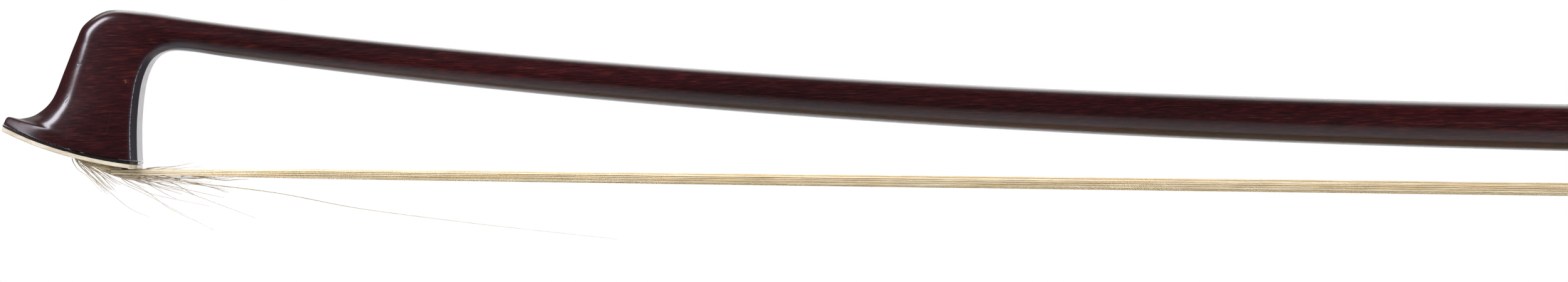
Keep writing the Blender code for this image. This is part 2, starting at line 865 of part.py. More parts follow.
def make_leather():
    edge = LEATHER_WALL / 4
    outer = [
        stick_ring(LEATHER_START, CLEARANCE + edge),
        stick_ring(LEATHER_START + LEATHER_SKIVE, CLEARANCE + LEATHER_WALL),
        stick_ring(LEATHER_END - edge, CLEARANCE + LEATHER_WALL),
        stick_ring(LEATHER_END, CLEARANCE + LEATHER_WALL - edge),
    ]
    inner = [stick_ring(LEATHER_END, CLEARANCE), stick_ring(LEATHER_START, CLEARANCE)]
    loft("thumb_leather", outer + inner, leather(), closed=True)


def lapping_point(start, j):
    """The middle of a strip's inner face, j steps along it."""
    along = start + LAPPING_PITCH * j / POINTS_A_TURN
    angle = ring_angle(j, POINTS_A_TURN)
    centre = Vector((x_at(along), 0, axis_height(along)))
    return centre, polar(1.0, angle), stick_radius(along, angle) + CLEARANCE


def make_lapping(name, shift, look):
    """One unbroken strip wound along the handle."""
    count = LAPPING_TURNS * POINTS_A_TURN
    start = LAPPING_END - STRIP_WIDTH / 2 - LAPPING_PITCH * (LAPPING_TURNS + 0.5) + shift
    rings, middles = [], []
    for j in range(count + 1):
        centre, outwards, radius = lapping_point(start, j)
        side = Vector((STRIP_WIDTH / 2, 0, 0))
        low = centre + outwards * radius
        high = low + outwards * STRIP_THICKNESS
        rings.append([low - side, low + side, high + side, high - side])
        middles.append(low)
    least = min(
        (middles[j + POINTS_A_TURN] - middles[j]).length - STRIP_WIDTH
        for j in range(count + 1 - POINTS_A_TURN)
    )
    print(f"{name}: least gap to itself {least / MM:.2f} mm")
    loft(name, rings, look)


# Frog


def frog_x(x=0.0):
    return x_at(FROG_FRONT) + x


def frog_half_width(z):
    share = (z - FROG_TOP) / (FROG_BOTTOM - FROG_TOP)
    return mix(FROG_WIDTH_TOP, FROG_WIDTH_BOTTOM, share) / 2


def frog_side_angle():
    return math.atan((FROG_WIDTH_BOTTOM - FROG_WIDTH_TOP) / 2 / (FROG_TOP - FROG_BOTTOM))


def frog_side(side):
    """The cutter outside one of the frog's leaning sides."""
    name = "frog_side_near" if side < 0 else "frog_side_far"
    found = bpy.data.objects.get(name)
    if found:
        return found
    spare = FROG_WIDTH_BOTTOM
    frame = Matrix.Translation((frog_x(), side * frog_half_width(FROG_TOP), FROG_TOP))
    frame = frame @ Matrix.Rotation(side * frog_side_angle(), 4, "X")
    low = (-spare, min(0, side * spare), -3 * spare)
    high = (FROG_LENGTH + spare, max(0, side * spare), spare)
    return box(name, low, high, ebony(), frame)


def heel_corner(inset):
    """The two corners of the heel's bevel, drawn inwards by inset, lower one first."""
    lean = inset * math.tan(math.radians(22.5))
    low = (FROG_LENGTH - HEEL_CHAMFER - lean, FROG_BOTTOM + inset)
    high = (FROG_LENGTH - inset, FROG_BOTTOM + HEEL_CHAMFER + lean)
    return low, high


def arc(centre, radius_x, radius_y, start, end, steps):
    points = []
    for i in range(steps + 1):
        angle = math.radians(mix(start, end, i / steps))
        points.append((centre[0] + radius_x * math.cos(angle), centre[1] + radius_y * math.sin(angle)))
    return points


def ferrule_outline(inset):
    """The D of the ferrule: flat underneath, arched above."""
    half = FERRULE_WIDTH / 2 - inset
    low = FERRULE_BOTTOM + inset
    corner = FERRULE_CORNER - inset
    arch = FERRULE_TOP - FERRULE_SHOULDER - inset
    outline = arc((half - corner, low + corner), corner, corner, -90, 0, 4)
    outline += arc((0, FERRULE_SHOULDER), half, arch, 0, 180, 16)
    outline += arc((corner - half, low + corner), corner, corner, 180, 270, 4)
    return outline


def tongue_outline():
    inset = FERRULE_WALL + CLEARANCE
    half = FERRULE_WIDTH / 2 - inset
    outline = [(-half, TONGUE_BOTTOM), (half, TONGUE_BOTTOM)]
    return outline + arc((0, FERRULE_SHOULDER), half, FERRULE_TOP - FERRULE_SHOULDER - inset, 0, 180, 16)


def slide_outline(low, high, spare=0.0):
    """A dovetailed slice of the slide between two heights."""
    def half(z):
        share = (z - FROG_BOTTOM) / (SLIDE_TOP - FROG_BOTTOM)
        return mix(SLIDE_WIDTH_OUTER, SLIDE_WIDTH_INNER, share) / 2 + spare

    return [(-half(low), low), (half(low), low), (half(high), high), (-half(high), high)]


def underslide_line(grow):
    """The three facets of the stick that the frog sits on, moved outwards by grow."""
    reach = HANDLE_FLATS / 2 + grow
    corner = reach * math.tan(math.radians(22.5))
    edge = reach * math.sqrt(2) + UNDERSLIDE_TOP
    return [(-edge, UNDERSLIDE_TOP), (-corner, -reach), (corner, -reach), (edge, UNDERSLIDE_TOP)]


def frog_outline():
    inset = HEEL_WALL + SEAM
    low, high = heel_corner(inset)
    outline = [(THUMB_LIP, FROG_TOP), (THUMB_LIP, THUMB_ROOF)]
    behind = SLIDE_FRONT
    lip = THUMB_LIP + THUMB_LIP_FLAT
    outline += arc((lip, FERRULE_TOP), behind - lip, THUMB_ROOF - FERRULE_TOP, 90, 0, THUMB_ARC_STEPS)
    outline += [(behind, FROG_BOTTOM), (SLIDE_BACK + CLEARANCE - SEAM, FROG_BOTTOM)]
    outline += [(SLIDE_BACK + CLEARANCE - SEAM, low[1]), low, high, (high[0], FROG_TOP)]
    return outline


def eye_frame(side):
    y = side * frog_half_width(EYE_HEIGHT)
    frame = Matrix.Translation((frog_x(EYE_ALONG), y, EYE_HEIGHT))
    lean = Matrix.Rotation(side * frog_side_angle(), 4, "X")
    return frame @ lean @ Matrix.Rotation(-side * math.pi / 2, 4, "X")


def make_frog():
    frog = plate("frog", [frog_outline()], FROG_WIDTH_BOTTOM, side_on(frog_x()), ebony())
    frog.data.shade_flat()
    length = SLIDE_FRONT + CLEARANCE - TONGUE_SETBACK
    centre = end_on(frog_x(TONGUE_SETBACK + length / 2))
    tongue = plate("tongue", [tongue_outline()], length, centre, ebony())
    boolean(frog, tongue, "UNION")
    for side in (-1, 1):
        boolean(frog, frog_side(side))
    flats = HANDLE_FLATS + 2 * (CLEARANCE + UNDERSLIDE_WALL + SEAM)
    ends = (FROG_FRONT - FROG_LENGTH, FROG_FRONT + 2 * FROG_LENGTH)
    channel = loft("channel", [octagon_ring(end, flats) for end in ends], ebony())
    boolean(frog, channel)
    recess_length = SLIDE_BACK - SLIDE_FRONT + 2 * CLEARANCE
    recess = plate(
        "slide_recess",
        [slide_outline(FROG_BOTTOM - CLEARANCE, SLIDE_TOP + CLEARANCE, CLEARANCE)],
        recess_length,
        end_on(frog_x(SLIDE_FRONT + recess_length / 2 - 2 * CLEARANCE)),
        ebony(),
    )
    boolean(frog, recess)
    half = HAIR_WIDTH_FROG / 2 + CLEARANCE
    hair_top = HAIR_IN_FROG + HAIR_THICKNESS / 2 + CLEARANCE
    hair_channel = box(
        "hair_channel",
        (frog_x(SLIDE_FRONT - CLEARANCE), -half, SLIDE_TOP),
        (frog_x(MORTISE_BACK), half, hair_top),
        ebony(),
    )
    boolean(frog, hair_channel)
    half = FROG_MORTISE_WIDTH / 2
    mortise = box(
        "frog_mortise",
        (frog_x(MORTISE_FRONT), -half, SLIDE_TOP),
        (frog_x(MORTISE_BACK), half, FROG_MORTISE_TOP),
        ebony(),
    )
    boolean(frog, mortise)
    for side, name in ((-1, "near"), (1, "far")):
        frame = eye_frame(side)
        reach = EYE_RADIUS + SEAM + EYE_RING_WALL + SEAM
        seat = rod(f"eye_seat_{name}", (0, 0, -EYE_DEPTH), (0, 0, EYE_DEPTH), reach, ebony(), 28, frame)
        boolean(frog, seat)
        low = SEAM - EYE_DEPTH
        ring_in = EYE_RADIUS + SEAM
        ring_out = ring_in + EYE_RING_WALL
        profile = [(ring_out, 0.0), (ring_out, low), (ring_in, low), (ring_in, 0.0)]
        turned(f"eye_ring_{name}", profile, silver(), frame)
        rod(f"eye_pearl_{name}", (0, 0, low), (0, 0, 0), EYE_RADIUS, pearl(), 28, frame)
    stem_hole = rod(
        "stem_hole",
        (frog_x(EYELET_ALONG), 0, EYELET_STEM_END - CLEARANCE),
        (frog_x(EYELET_ALONG), 0, 0),
        EYELET_STEM_RADIUS + CLEARANCE,
        ebony(),
        20,
    )
    boolean(frog, stem_hole)
    make_underslide(stem_hole)
    make_heel(frog)
    return frog


def make_underslide(stem_hole):
    outline = underslide_line(CLEARANCE + UNDERSLIDE_WALL) + underslide_line(CLEARANCE)[::-1]
    low, high = heel_corner(HEEL_WALL + SEAM)
    length = high[0] - THUMB_LIP - 2 * CLEARANCE
    centre = end_on(frog_x(THUMB_LIP + CLEARANCE + length / 2))
    underslide = plate("underslide", [outline], length, centre, silver())
    underslide.data.shade_flat()
    boolean(underslide, stem_hole)


def heel_pin_bars():
    """Start and end of each pin of the heel plates."""
    depth = HEEL_PIN_LENGTH
    under = frog_x((SLIDE_BACK + heel_corner(0)[0][0]) / 2)
    back = frog_x(FROG_LENGTH)
    bars = []
    for side in (-1, 1):
        y = side * FROG_WIDTH_BOTTOM / 4
        bars.append(((under, y, FROG_BOTTOM), (under, y, FROG_BOTTOM + depth)))
    for share in (0.3, 0.75):
        z = mix(FROG_TOP, FROG_BOTTOM + HEEL_CHAMFER, share)
        bars.append(((back, 0, z), (back - depth, 0, z)))
    return bars


def make_heel(frog):
    bars = heel_pin_bars()
    holes = []
    for i, (start, end) in enumerate(bars, 1):
        start, end = Vector(start), Vector(end)
        spare = (end - start).normalized() * CLEARANCE
        hole = rod(f"heel_pin_hole_{i}", start - spare, end + spare, HEEL_PIN_RADIUS + SEAM, ebony(), 12)
        rod(f"heel_pin_{i}", start, end, HEEL_PIN_RADIUS, silver(), 12)
        boolean(frog, hole)
        holes.append(hole)
    outer_low, outer_high = heel_corner(0.0)
    inner_low, inner_high = heel_corner(HEEL_WALL)
    start = SLIDE_BACK + CLEARANCE
    under = [(start, FROG_BOTTOM), outer_low, outer_high, inner_high, inner_low, (start, inner_low[1])]
    top = (outer_high[0], FROG_TOP - HEEL_CHAMFER)
    back = [
        (outer_high[0], outer_high[1] + SEAM),
        top,
        (inner_high[0], top[1]),
        (inner_high[0], inner_high[1] + SEAM),
    ]
    for name, outline in (("heel_plate_under", under), ("heel_plate_back", back)):
        piece = plate(name, [outline], FROG_WIDTH_BOTTOM, side_on(frog_x()), silver())
        piece.data.shade_flat()
        for side in (-1, 1):
            boolean(piece, frog_side(side))
        for hole in holes[:2] if name.endswith("under") else holes[2:]:
            boolean(piece, hole)


def make_ferrule():
    outlines = [ferrule_outline(0.0), ferrule_outline(FERRULE_WALL)]
    plate("ferrule", outlines, FERRULE_LENGTH, end_on(frog_x(FERRULE_LENGTH / 2)), silver())
    low = HAIR_AT_FERRULE + HAIR_THICKNESS / 2 + SEAM
    wedge = [
        (CLEARANCE, low),
        (WEDGE_LENGTH, low),
        (WEDGE_LENGTH, low + WEDGE_BACK_HEIGHT),
        (CLEARANCE, low + WEDGE_FRONT_HEIGHT),
    ]
    plate("spread_wedge", [wedge], WEDGE_WIDTH, side_on(frog_x()), maple())


def make_slide():
    pearl_top = FROG_BOTTOM + PEARL_THICKNESS
    centre = end_on(frog_x(SLIDE_FRONT + SLIDE_LENGTH / 2))
    plate("pearl_slide", [slide_outline(FROG_BOTTOM, pearl_top)], SLIDE_LENGTH, centre, pearl())
    backing = slide_outline(pearl_top + SEAM, SLIDE_TOP)
    plate("slide_backing", [backing], SLIDE_LENGTH, centre, ebony())


def frog_knot_base():
    return FROG_MORTISE_TOP - CLEARANCE - FROG_KNOT_HEIGHT


def make_frog_fittings():
    half_width = FROG_MORTISE_WIDTH / 2 - CLEARANCE
    half = (FROG_KNOT_LENGTH / 2, half_width, FROG_KNOT_HEIGHT / 2)
    centre_x = frog_x(MORTISE_BACK - CLEARANCE - half[0])
    knot("frog_knot", (centre_x, 0, frog_knot_base() + half[2]), half)
    low = HAIR_IN_FROG + HAIR_THICKNESS / 2 + SEAM
    box(
        "frog_plug",
        (frog_x(MORTISE_FRONT + CLEARANCE), -half_width, low),
        (centre_x - half[0] - CLEARANCE, half_width, FROG_MORTISE_TOP - CLEARANCE),
        maple(),
    )


# Screw, eyelet and button


def make_eyelet():
    x = frog_x(EYELET_ALONG)
    half = EYELET_WIDTH / 2
    low = half - HANDLE_FLATS / math.sqrt(2)
    eyelet = box(
        "eyelet",
        (x - EYELET_LENGTH / 2, -half, low),
        (x + EYELET_LENGTH / 2, half, EYELET_TOP),
        brass(),
    )
    eyelet.data.shade_flat()
    stem = rod("eyelet_stem", (x, 0, EYELET_STEM_END), (x, 0, low + SEAM), EYELET_STEM_RADIUS, brass(), 20)
    boolean(eyelet, stem, "UNION")
    reach = EYELET_LENGTH
    bore = rod(
        "eyelet_bore", (x - reach, 0, 0), (x + reach, 0, 0), SCREW_DIAMETER / 2 + CLEARANCE, brass(), 20
    )
    boolean(eyelet, bore)


def screw_frame(along):
    """A turned piece's frame on the screw's axis: its height runs along X."""
    return Matrix.Translation((x_at(along), 0, 0)) @ Matrix.Rotation(math.pi / 2, 4, "Y")


def make_screw_and_button():
    button = STICK_LENGTH + CLEARANCE
    end = button + BUTTON_LENGTH
    tip = STICK_LENGTH - SCREW_REACH
    radius = SCREW_DIAMETER / 2
    top = end - COLLAR_LENGTH - CLEARANCE - tip
    profile = [(0, top), (radius, top), (radius, radius), (radius / 2, 0), (0, 0)]
    turned("screw", profile, steel(), screw_frame(tip), 20)

    spigot = NIPPLE_DIAMETER / 2
    bore = spigot + CLEARANCE
    cut_back = 2 * COLLAR_CHAMFER
    collar_end = button + COLLAR_LENGTH
    loft(
        "button_collar_front",
        [
            octagon_ring(button, BUTTON_FLATS - cut_back),
            octagon_ring(button + COLLAR_CHAMFER, BUTTON_FLATS),
            octagon_ring(collar_end - COLLAR_CHAMFER, BUTTON_FLATS),
            octagon_ring(collar_end, BUTTON_FLATS - cut_back),
            round_ring(collar_end, bore),
            round_ring(button, bore),
        ],
        silver(),
        closed=True,
    )
    core_start = collar_end + SEAM
    rear = end - COLLAR_LENGTH
    core_end = rear - SEAM
    core = loft(
        "button_core",
        [
            round_ring(core_start - CORE_SPIGOT_LENGTH, spigot),
            round_ring(core_start, spigot),
            octagon_ring(core_start, BUTTON_FLATS - cut_back),
            octagon_ring((core_start + core_end) / 2, BUTTON_FLATS - cut_back - 2 * BUTTON_WAIST),
            octagon_ring(core_end, BUTTON_FLATS - cut_back),
            round_ring(core_end, spigot),
            round_ring(core_end + CORE_SPIGOT_LENGTH, spigot),
        ],
        ebony(),
    )
    screw_hole = rod(
        "core_bore",
        (x_at(button), 0, 0),
        (x_at(rear), 0, 0),
        radius + SEAM,
        ebony(),
        20,
    )
    boolean(core, screw_hole)
    eye_seat = BUTTON_EYE_RADIUS + SEAM
    loft(
        "button_collar_rear",
        [
            round_ring(rear + CORE_SPIGOT_LENGTH, bore),
            round_ring(rear, bore),
            octagon_ring(rear, BUTTON_FLATS - cut_back),
            octagon_ring(rear + COLLAR_CHAMFER, BUTTON_FLATS),
            octagon_ring(end - COLLAR_CHAMFER, BUTTON_FLATS),
            octagon_ring(end, BUTTON_FLATS - cut_back),
            round_ring(end, eye_seat),
            round_ring(end - BUTTON_EYE_DEPTH, eye_seat),
        ],
        silver(),
    )
    rod(
        "button_eye",
        (x_at(end - BUTTON_EYE_DEPTH + SEAM), 0, 0),
        (x_at(end), 0, 0),
        BUTTON_EYE_RADIUS,
        pearl(),
        28,
    )


def group_under(name, names, place):
    """Hang pieces under an empty on their joint's axis, where they are."""
    empty = bpy.data.objects.new(name, None)
    COLLECTION.objects.link(empty)
    empty.empty_display_size = 10 * MM
    empty.location = place
    bpy.context.view_layer.update()
    for child in names:
        piece = bpy.data.objects[child]
        world = piece.matrix_world.copy()
        piece.parent = empty
        piece.matrix_world = world


FROG_PIECES = (
    "frog",
    "ferrule",
    "spread_wedge",
    "pearl_slide",
    "slide_backing",
    "heel_plate_under",
    "heel_plate_back",
    "heel_pin_1",
    "heel_pin_2",
    "heel_pin_3",
    "heel_pin_4",
    "underslide",
    "eye_ring_near",
    "eye_ring_far",
    "eye_pearl_near",
    "eye_pearl_far",
    "frog_knot",
    "frog_plug",
    "eyelet",
)
SCREW_PIECES = ("screw", "button_core", "button_collar_front", "button_collar_rear", "button_eye")


def main():
    clear_scene()
    make_stick()
    make_head_trim()
    make_tip_fittings()
    make_hair()
    make_broken_hairs()
    make_leather()
    make_lapping("lapping_dark", 0.0, dark_strip())
    make_lapping("lapping_light", LAPPING_PITCH / 2, light_strip())
    make_frog()
    make_ferrule()
    make_slide()
    make_frog_fittings()
    make_eyelet()
    make_screw_and_button()
    group_under("frog_slide_axis", FROG_PIECES, (frog_x(), 0, 0))
    group_under("screw_axis", SCREW_PIECES, (x_at(STICK_LENGTH), 0, 0))


main()
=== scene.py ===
"""The violin bow dressed for its picture: wood, loose hair, polished fittings, light and camera.

Distances named "along" are counted from the tip of the head's nose towards the button.
Head measures are drawn from the middle of the neck: x towards the button, z away from the hair.
"""

import math
import random

import bmesh
import bpy
from mathutils import Matrix, Vector


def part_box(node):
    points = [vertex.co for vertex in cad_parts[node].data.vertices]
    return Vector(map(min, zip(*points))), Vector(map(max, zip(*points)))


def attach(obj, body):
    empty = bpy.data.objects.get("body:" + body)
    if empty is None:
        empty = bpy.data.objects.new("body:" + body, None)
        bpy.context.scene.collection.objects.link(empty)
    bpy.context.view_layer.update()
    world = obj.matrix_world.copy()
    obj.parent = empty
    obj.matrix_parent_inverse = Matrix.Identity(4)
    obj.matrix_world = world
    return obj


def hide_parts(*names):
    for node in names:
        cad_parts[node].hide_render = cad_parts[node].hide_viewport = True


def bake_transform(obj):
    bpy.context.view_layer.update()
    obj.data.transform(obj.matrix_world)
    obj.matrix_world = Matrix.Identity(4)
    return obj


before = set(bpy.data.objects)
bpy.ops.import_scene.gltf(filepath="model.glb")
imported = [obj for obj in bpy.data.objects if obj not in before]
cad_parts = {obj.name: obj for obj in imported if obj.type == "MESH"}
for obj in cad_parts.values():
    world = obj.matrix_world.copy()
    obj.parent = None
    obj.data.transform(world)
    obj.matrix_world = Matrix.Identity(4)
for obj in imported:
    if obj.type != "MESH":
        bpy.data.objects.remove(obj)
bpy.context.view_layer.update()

MM = 0.001
STICK, FROG, SCREW = "stick_assembly", "frog_assembly", "screw_assembly"
SEAM = 0.12 * MM
CLEARANCE = 0.30 * MM

# Stick
STICK_LENGTH = 730.0 * MM
HANDLE_STRAIGHT = 113.0 * MM
CAMBER_DROP = 34.3 * MM
CAMBER_LENGTH = 176.4 * MM
NECK_ALONG = 28.0 * MM
NECK_DIAMETER = 5.1 * MM
HANDLE_DIAMETER = 8.6 * MM
TAPER_LENGTH = 190.0 * MM
HANDLE_FLATS = 8.5 * MM
OCTAGON_LENGTH = 116.0 * MM
OCTAGON_BLEND = 8.0 * MM
OCTAGON_ROUNDING = 0.10 * MM
NIPPLE_DIAMETER = 5.8 * MM
NIPPLE_LENGTH = 1.6 * MM
ORIGIN_ALONG = 662.7 * MM
HANDLE_START = STICK_LENGTH - HANDLE_STRAIGHT
OCTAGON_START = STICK_LENGTH - OCTAGON_LENGTH
CAMBER_END = math.exp(-HANDLE_START / CAMBER_LENGTH)
END_TRIM = 0.25 * MM

# Room in the eyelet's slot before and behind the eyelet
SLOT_FRONT_ROOM = 4.3 * MM
SLOT_BACK_ROOM = 3.3 * MM

# Sections along the stick, with those of its round part closer together at the head
HEAD_RINGS = 110
ROUND_RINGS = 120
ROUND_CROWDING = 1.1
OCTAGON_RINGS = 10

# Leather and lapping
LEATHER_WALL = 0.7 * MM
LEATHER_SKIVE = 2.5 * MM
LEATHER_EASE = 0.5 * MM
LEATHER_RINGS = 48
LAPPING_PITCH = 3.6 * MM
LAPPING_TURNS = 18
LAPPING_STEPS = 72
STRIP_WIDTH = 1.4 * MM
STRIP_THICKNESS = 0.35 * MM
STRIP_EASE = 0.10 * MM
STRIP_CROWN = 0.02 * MM

# Head
HEAD_START = 8.0 * MM
HEAD_FRONT = [
    Vector((x * MM, z * MM))
    for x, z in (
        (1.5, 2.66), (-5.5, 2.72), (-11.0, 2.15), (-14.4, -0.5), (-15.5, -3.6), (-16.6, -8.2),
        (-17.9, -13.1), (-20.0, -15.75), (-22.4, -16.85), (-24.6, -16.9),
    )
]
HEAD_BACK = [
    Vector((x * MM, z * MM))
    for x, z in (
        (3.0, -2.55), (-0.4, -2.95), (-2.5, -4.4), (-3.5, -6.8), (-3.85, -10.0), (-3.6, -15.0),
        (-2.9, -19.8),
    )
]
HEAD_WIDTH = 10.0 * MM
BACK_FLAT = 5.5 * MM
BACK_CHAMFER = 0.8 * MM
RIDGE_FLAT = 0.3 * MM
BEVEL_DEPTHS = [
    Vector((depth * MM, 0)) for depth in (0.8, 0.8, 0.8, 0.85, 1.2, 1.55, 2.0, 2.8, 4.0, 5.3, 5.2)
]
CHEEK_TAPER = 0.70
CHEEK_POWER = 2.2
WIDTH_POWER = 0.9
NECK_FLAT = 0.55
NOSE_WIDTH = 2.0 * MM
FACE_HEEL = -2.6 * MM
FACE_NOSE = -25.1 * MM
FACE_LOW_X = -4.5 * MM
FACE_LOW_Z = -21.50 * MM
FACE_RADIUS = 69.5 * MM
LINER_NOSE = 0.22 * MM
LINER_HEEL = 0.45 * MM
PLATE_NOSE = 0.66 * MM
PLATE_HEEL = 0.62 * MM
PLATE_EDGE = 0.08 * MM

# Shares of the head's length: over the first the stick's round turns into the head's section, and
# from the second on the section turns into the face
HEADED_SHARE = 0.42
FACE_BLEND_START, FACE_BLEND = 0.86, 0.14

# Mortise in the head
MORTISE_FRONT = -13.9 * MM
MORTISE_BACK = -6.4 * MM
MORTISE_TOP = -15.2 * MM
MORTISE_HALF_WIDTH = 3.3 * MM

# Half a section is drawn on a scale from 0 in the middle of its back to FRONT in the middle of its
# front. CORNERS says how far each edge that runs down the head is rounded off towards either side
FRONT = 16
PLACES_A_UNIT = 4
BACK_EDGE, CHEEK_EDGE, BEVEL_EDGE, RIDGE_EDGE = 2, 4, 12, 15
CORNERS = {
    BACK_EDGE: (0.16, 0.16), CHEEK_EDGE: (0.16, 0.08),
    BEVEL_EDGE: (1.10, 1.50), RIDGE_EDGE: (0.35, 0.35),
}
CORNER_STEPS = 10

# Hair: x, z and width of the ribbon's middle, from the knot in the head to the knot in the frog
HAIR_ROUTE = [
    (Vector((x * MM, 0, z * MM)), width * MM)
    for x, z, width in (
        (-650.48, 9.06, 5.6), (-650.96, 6.07, 5.6), (-649.68, 4.96, 5.8), (-647.93, 4.13, 6.05),
        (-645.62, 3.59, 6.37), (-643.29, 3.13, 6.69), (-641.06, 2.76, 7.0), (-614.84, 1.90, 7.64),
        (-313.38, -8.02, 9.26), (14.3, -18.80, 10.0), (20.4, -18.80, 10.0), (25.5, -17.93, 9.9),
        (41.4, -17.93, 6.8), (48.2, -17.93, 6.8), (49.0, -17.13, 6.8), (49.0, -16.0, 6.8),
    )
]
ROUTE_STEPS = 3
LONG_ROUTE_STEPS = {7: 14, 8: 12}
ROUTE_NUDGE = 0.002
HAIR_COLUMNS = 44
HAIR_LAYERS = 6
HAIR_RADIUS = 0.085 * MM
HAIR_TIGHT = 0.62 * MM
HAIR_LOOSE = 1.12 * MM
FRINGE_HAIRS = 46
FRINGE_REACH = (0.55, 0.92)
FRINGE_INSET = 0.35
STRAND_SIDES = 4
STRAND_TAPER = 1.3

# Where on X, and over what lengths, the ribbon opens to loose hair, closes again and sways
FREE_START, FREE_RISE = -644.5 * MM, 14.0 * MM
FREE_END, FREE_FALL = 10.0 * MM, 120.0 * MM
SWAY_START, SWAY_RUN, SWAY_POWER = -640.0 * MM, 654.0 * MM, 0.45

# Broken hairs: how many hairs follow a strand, and the points (x, z) along its middle
BROKEN_STRANDS = (
    (1, (-651.2, 5.5), (-651.0, 4.6), (-650.4, 3.6), (-649.2, 2.4), (-648.0, 1.2), (-646.9, 0.1),
     (-646.1, -0.7)),
    (2, (-651.1, 5.4), (-650.8, 4.6), (-650.0, 3.5), (-648.6, 2.4), (-647.3, 0.8),
     (-646.2, -0.4)),
    (3, (-650.8, 5.5), (-650.2, 4.6), (-649.2, 3.4), (-648.0, 2.0), (-646.8, 0.8),
     (-645.8, -0.0)),
    (4, (-650.2, 4.6), (-649.0, 3.7), (-647.7, 2.7), (-646.4, 1.4), (-645.5, 0.6), (-645.0, 0.0)),
    (4, (-649.4, 4.3), (-648.0, 3.5), (-646.9, 2.8), (-645.5, 1.8), (-644.3, 1.0)),
    (1, (-649.8, 5.1), (-647.9, 4.5), (-645.2, 2.8), (-643.4, 1.0), (-641.0, -0.1), (-639.5, -0.8),
     (-635.3, -1.8), (-630.0, -3.0)),
    (2, (-649.0, 4.5), (-644.9, 2.8), (-641.1, 1.1), (-639.9, 0.8), (-637.0, -0.9),
     (-635.2, -1.8)),
    (2, (-648.3, 4.7), (-643.9, 2.9), (-640.3, 1.2), (-638.8, 0.7), (-637.4, -0.4)),
    (1, (-647.3, 4.3), (-642.3, 2.2), (-638.2, 0.7), (-634.4, -0.3), (-633.1, 0.1)),
    (2, (-645.9, 3.4), (-641.1, 1.7), (-637.4, 0.6), (-633.8, -0.2), (-628.0, -1.6)),
    (1, (-647.9, 4.7), (-642.5, 2.6), (-637.8, 0.7), (-633.8, -0.7), (-628.7, -2.8),
     (-623.0, -5.0)),
    (2, (-644.7, 3.2), (-639.0, 1.8), (-635.4, 0.8), (-632.3, -1.0), (-630.7, -1.8)),
    (2, (-643.5, 3.0), (-638.2, 2.0), (-634.5, 1.1), (-629.3, -0.1), (-626.8, -0.9)),
    (1, (-641.9, 2.7), (-636.2, 1.7), (-630.9, 0.4), (-626.4, -0.6)),
    (2, (-632.7, 1.9), (-628.2, 1.3), (-625.8, 1.2), (-623.7, 1.0)),
    (1, (-649.6, 3.5), (-648.0, 1.9), (-645.0, -0.9), (-642.5, -3.0), (-639.4, -4.5)),
    (1, (-645.9, 2.6), (-643.5, 1.2), (-639.5, -0.8), (-634.8, -3.5), (-633.3, -4.2)),
    (1, (-645.0, 2.6), (-639.9, -0.1), (-635.9, -3.1), (-631.8, -5.1), (-628.8, -6.7)),
    (1, (-642.3, 3.2), (-639.4, 3.2), (-637.8, 3.5), (-634.3, 3.6)),
    (2, (-640.6, 3.0), (-636.7, 3.2), (-633.7, 3.3), (-630.3, 3.5)),
    (2, (-639.8, 3.3), (-639.0, 3.4), (-638.2, 3.5), (-637.7, 3.3)),
    (2, (-634.5, 1.8), (-633.3, 2.1), (-631.5, 2.2), (-629.9, 2.7)),
    (12, (-650.2, 5.3), (-646.7, 3.4), (-643.3, 2.1), (-639.0, 1.8), (-633.7, 1.7),
     (-629.6, 1.7)),
    (4, (-650.8, 5.5), (-646.7, 3.7), (-641.5, 1.8), (-638.8, 1.2), (-637.8, 0.9)),
    (12, (-649.4, 4.9), (-644.3, 3.0), (-639.0, 2.2), (-633.1, 1.9), (-628.6, 2.0)),
    (1, (-633.1, 1.0), (-619.2, -1.0), (-607.5, -3.5), (-597.8, -5.1), (-584.8, -7.0),
     (-565.0, -9.6)),
)
BROKEN_RADIUS = 0.085 * MM
BROKEN_SPREAD = 5.9 * MM
BROKEN_TIP = 0.22
LONE_HAIR = 0.75

# Marks of wear on the near side of the head: x, z of both ends and half width, in mm
SCRATCHES = (
    (-649.9, 20.0, -648.4, 21.0, 0.10), (-650.3, 21.1, -649.2, 19.9, 0.08),
    (-652.4, 14.1, -651.5, 15.0, 0.07), (-651.9, 14.0, -651.4, 14.5, 0.06),
    (-651.7, 7.9, -651.5, 10.8, 0.05), (-645.3, 8.5, -644.4, 12.6, 0.03),
)
WORN_SPOT = Vector((-642.0, -4.5, 17.2)) * MM
DULL_NOSE = Vector((-659.6, 0.0, 10.2)) * MM
DULL_REACH = 10 * MM

# Screw, and easing of the fittings' edges
SCREW_PITCH = 0.7 * MM
EASED_ANGLE = 28.0
FACET_ANGLE = 0.6
SHADING_WEIGHT = 60

# Stage: the floor, and the white sweep's wall, bend, front edge and two sides
FLOOR_Z = -0.80
FLOOR_RADIUS = 14.0
WALL_Y, WALL_TOP = 1.3, 1.5
SWEEP_BEND, SWEEP_STEPS = 0.6, 16
SWEEP_FRONT_Y, SWEEP_X = -2.4, (-0.95, 0.30)

# Camera
CAMERA_PLACE = (-0.53798, -0.630, 0.00558)
CAMERA_ROLL = 1.186
CAMERA_LENS = 90.7


def cad(name):
    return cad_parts[name]


def smooth_step(value):
    value = min(max(value, 0.0), 1.0)
    return value * value * (3 - 2 * value)


def mix(first, second, share):
    return first + (second - first) * share


def spline_point(points, share):
    """A point on the smooth curve through points, with share from 0 to 1 over all of it."""
    spot = min(share * (len(points) - 1), len(points) - 1.000001)
    i = int(spot)
    t = spot - i
    p1, p2 = points[i], points[i + 1]
    p0 = points[i - 1] if i > 0 else p1 * 2 - p2
    p3 = points[i + 2] if i + 2 < len(points) else p2 * 2 - p1
    slope1, slope2 = (p2 - p0) / 2, (p3 - p1) / 2
    return (
        p1 * (2 * t**3 - 3 * t**2 + 1)
        + slope1 * (t**3 - 2 * t**2 + t)
        + p2 * (3 * t**2 - 2 * t**3)
        + slope2 * (t**3 - t**2)
    )


# Materials


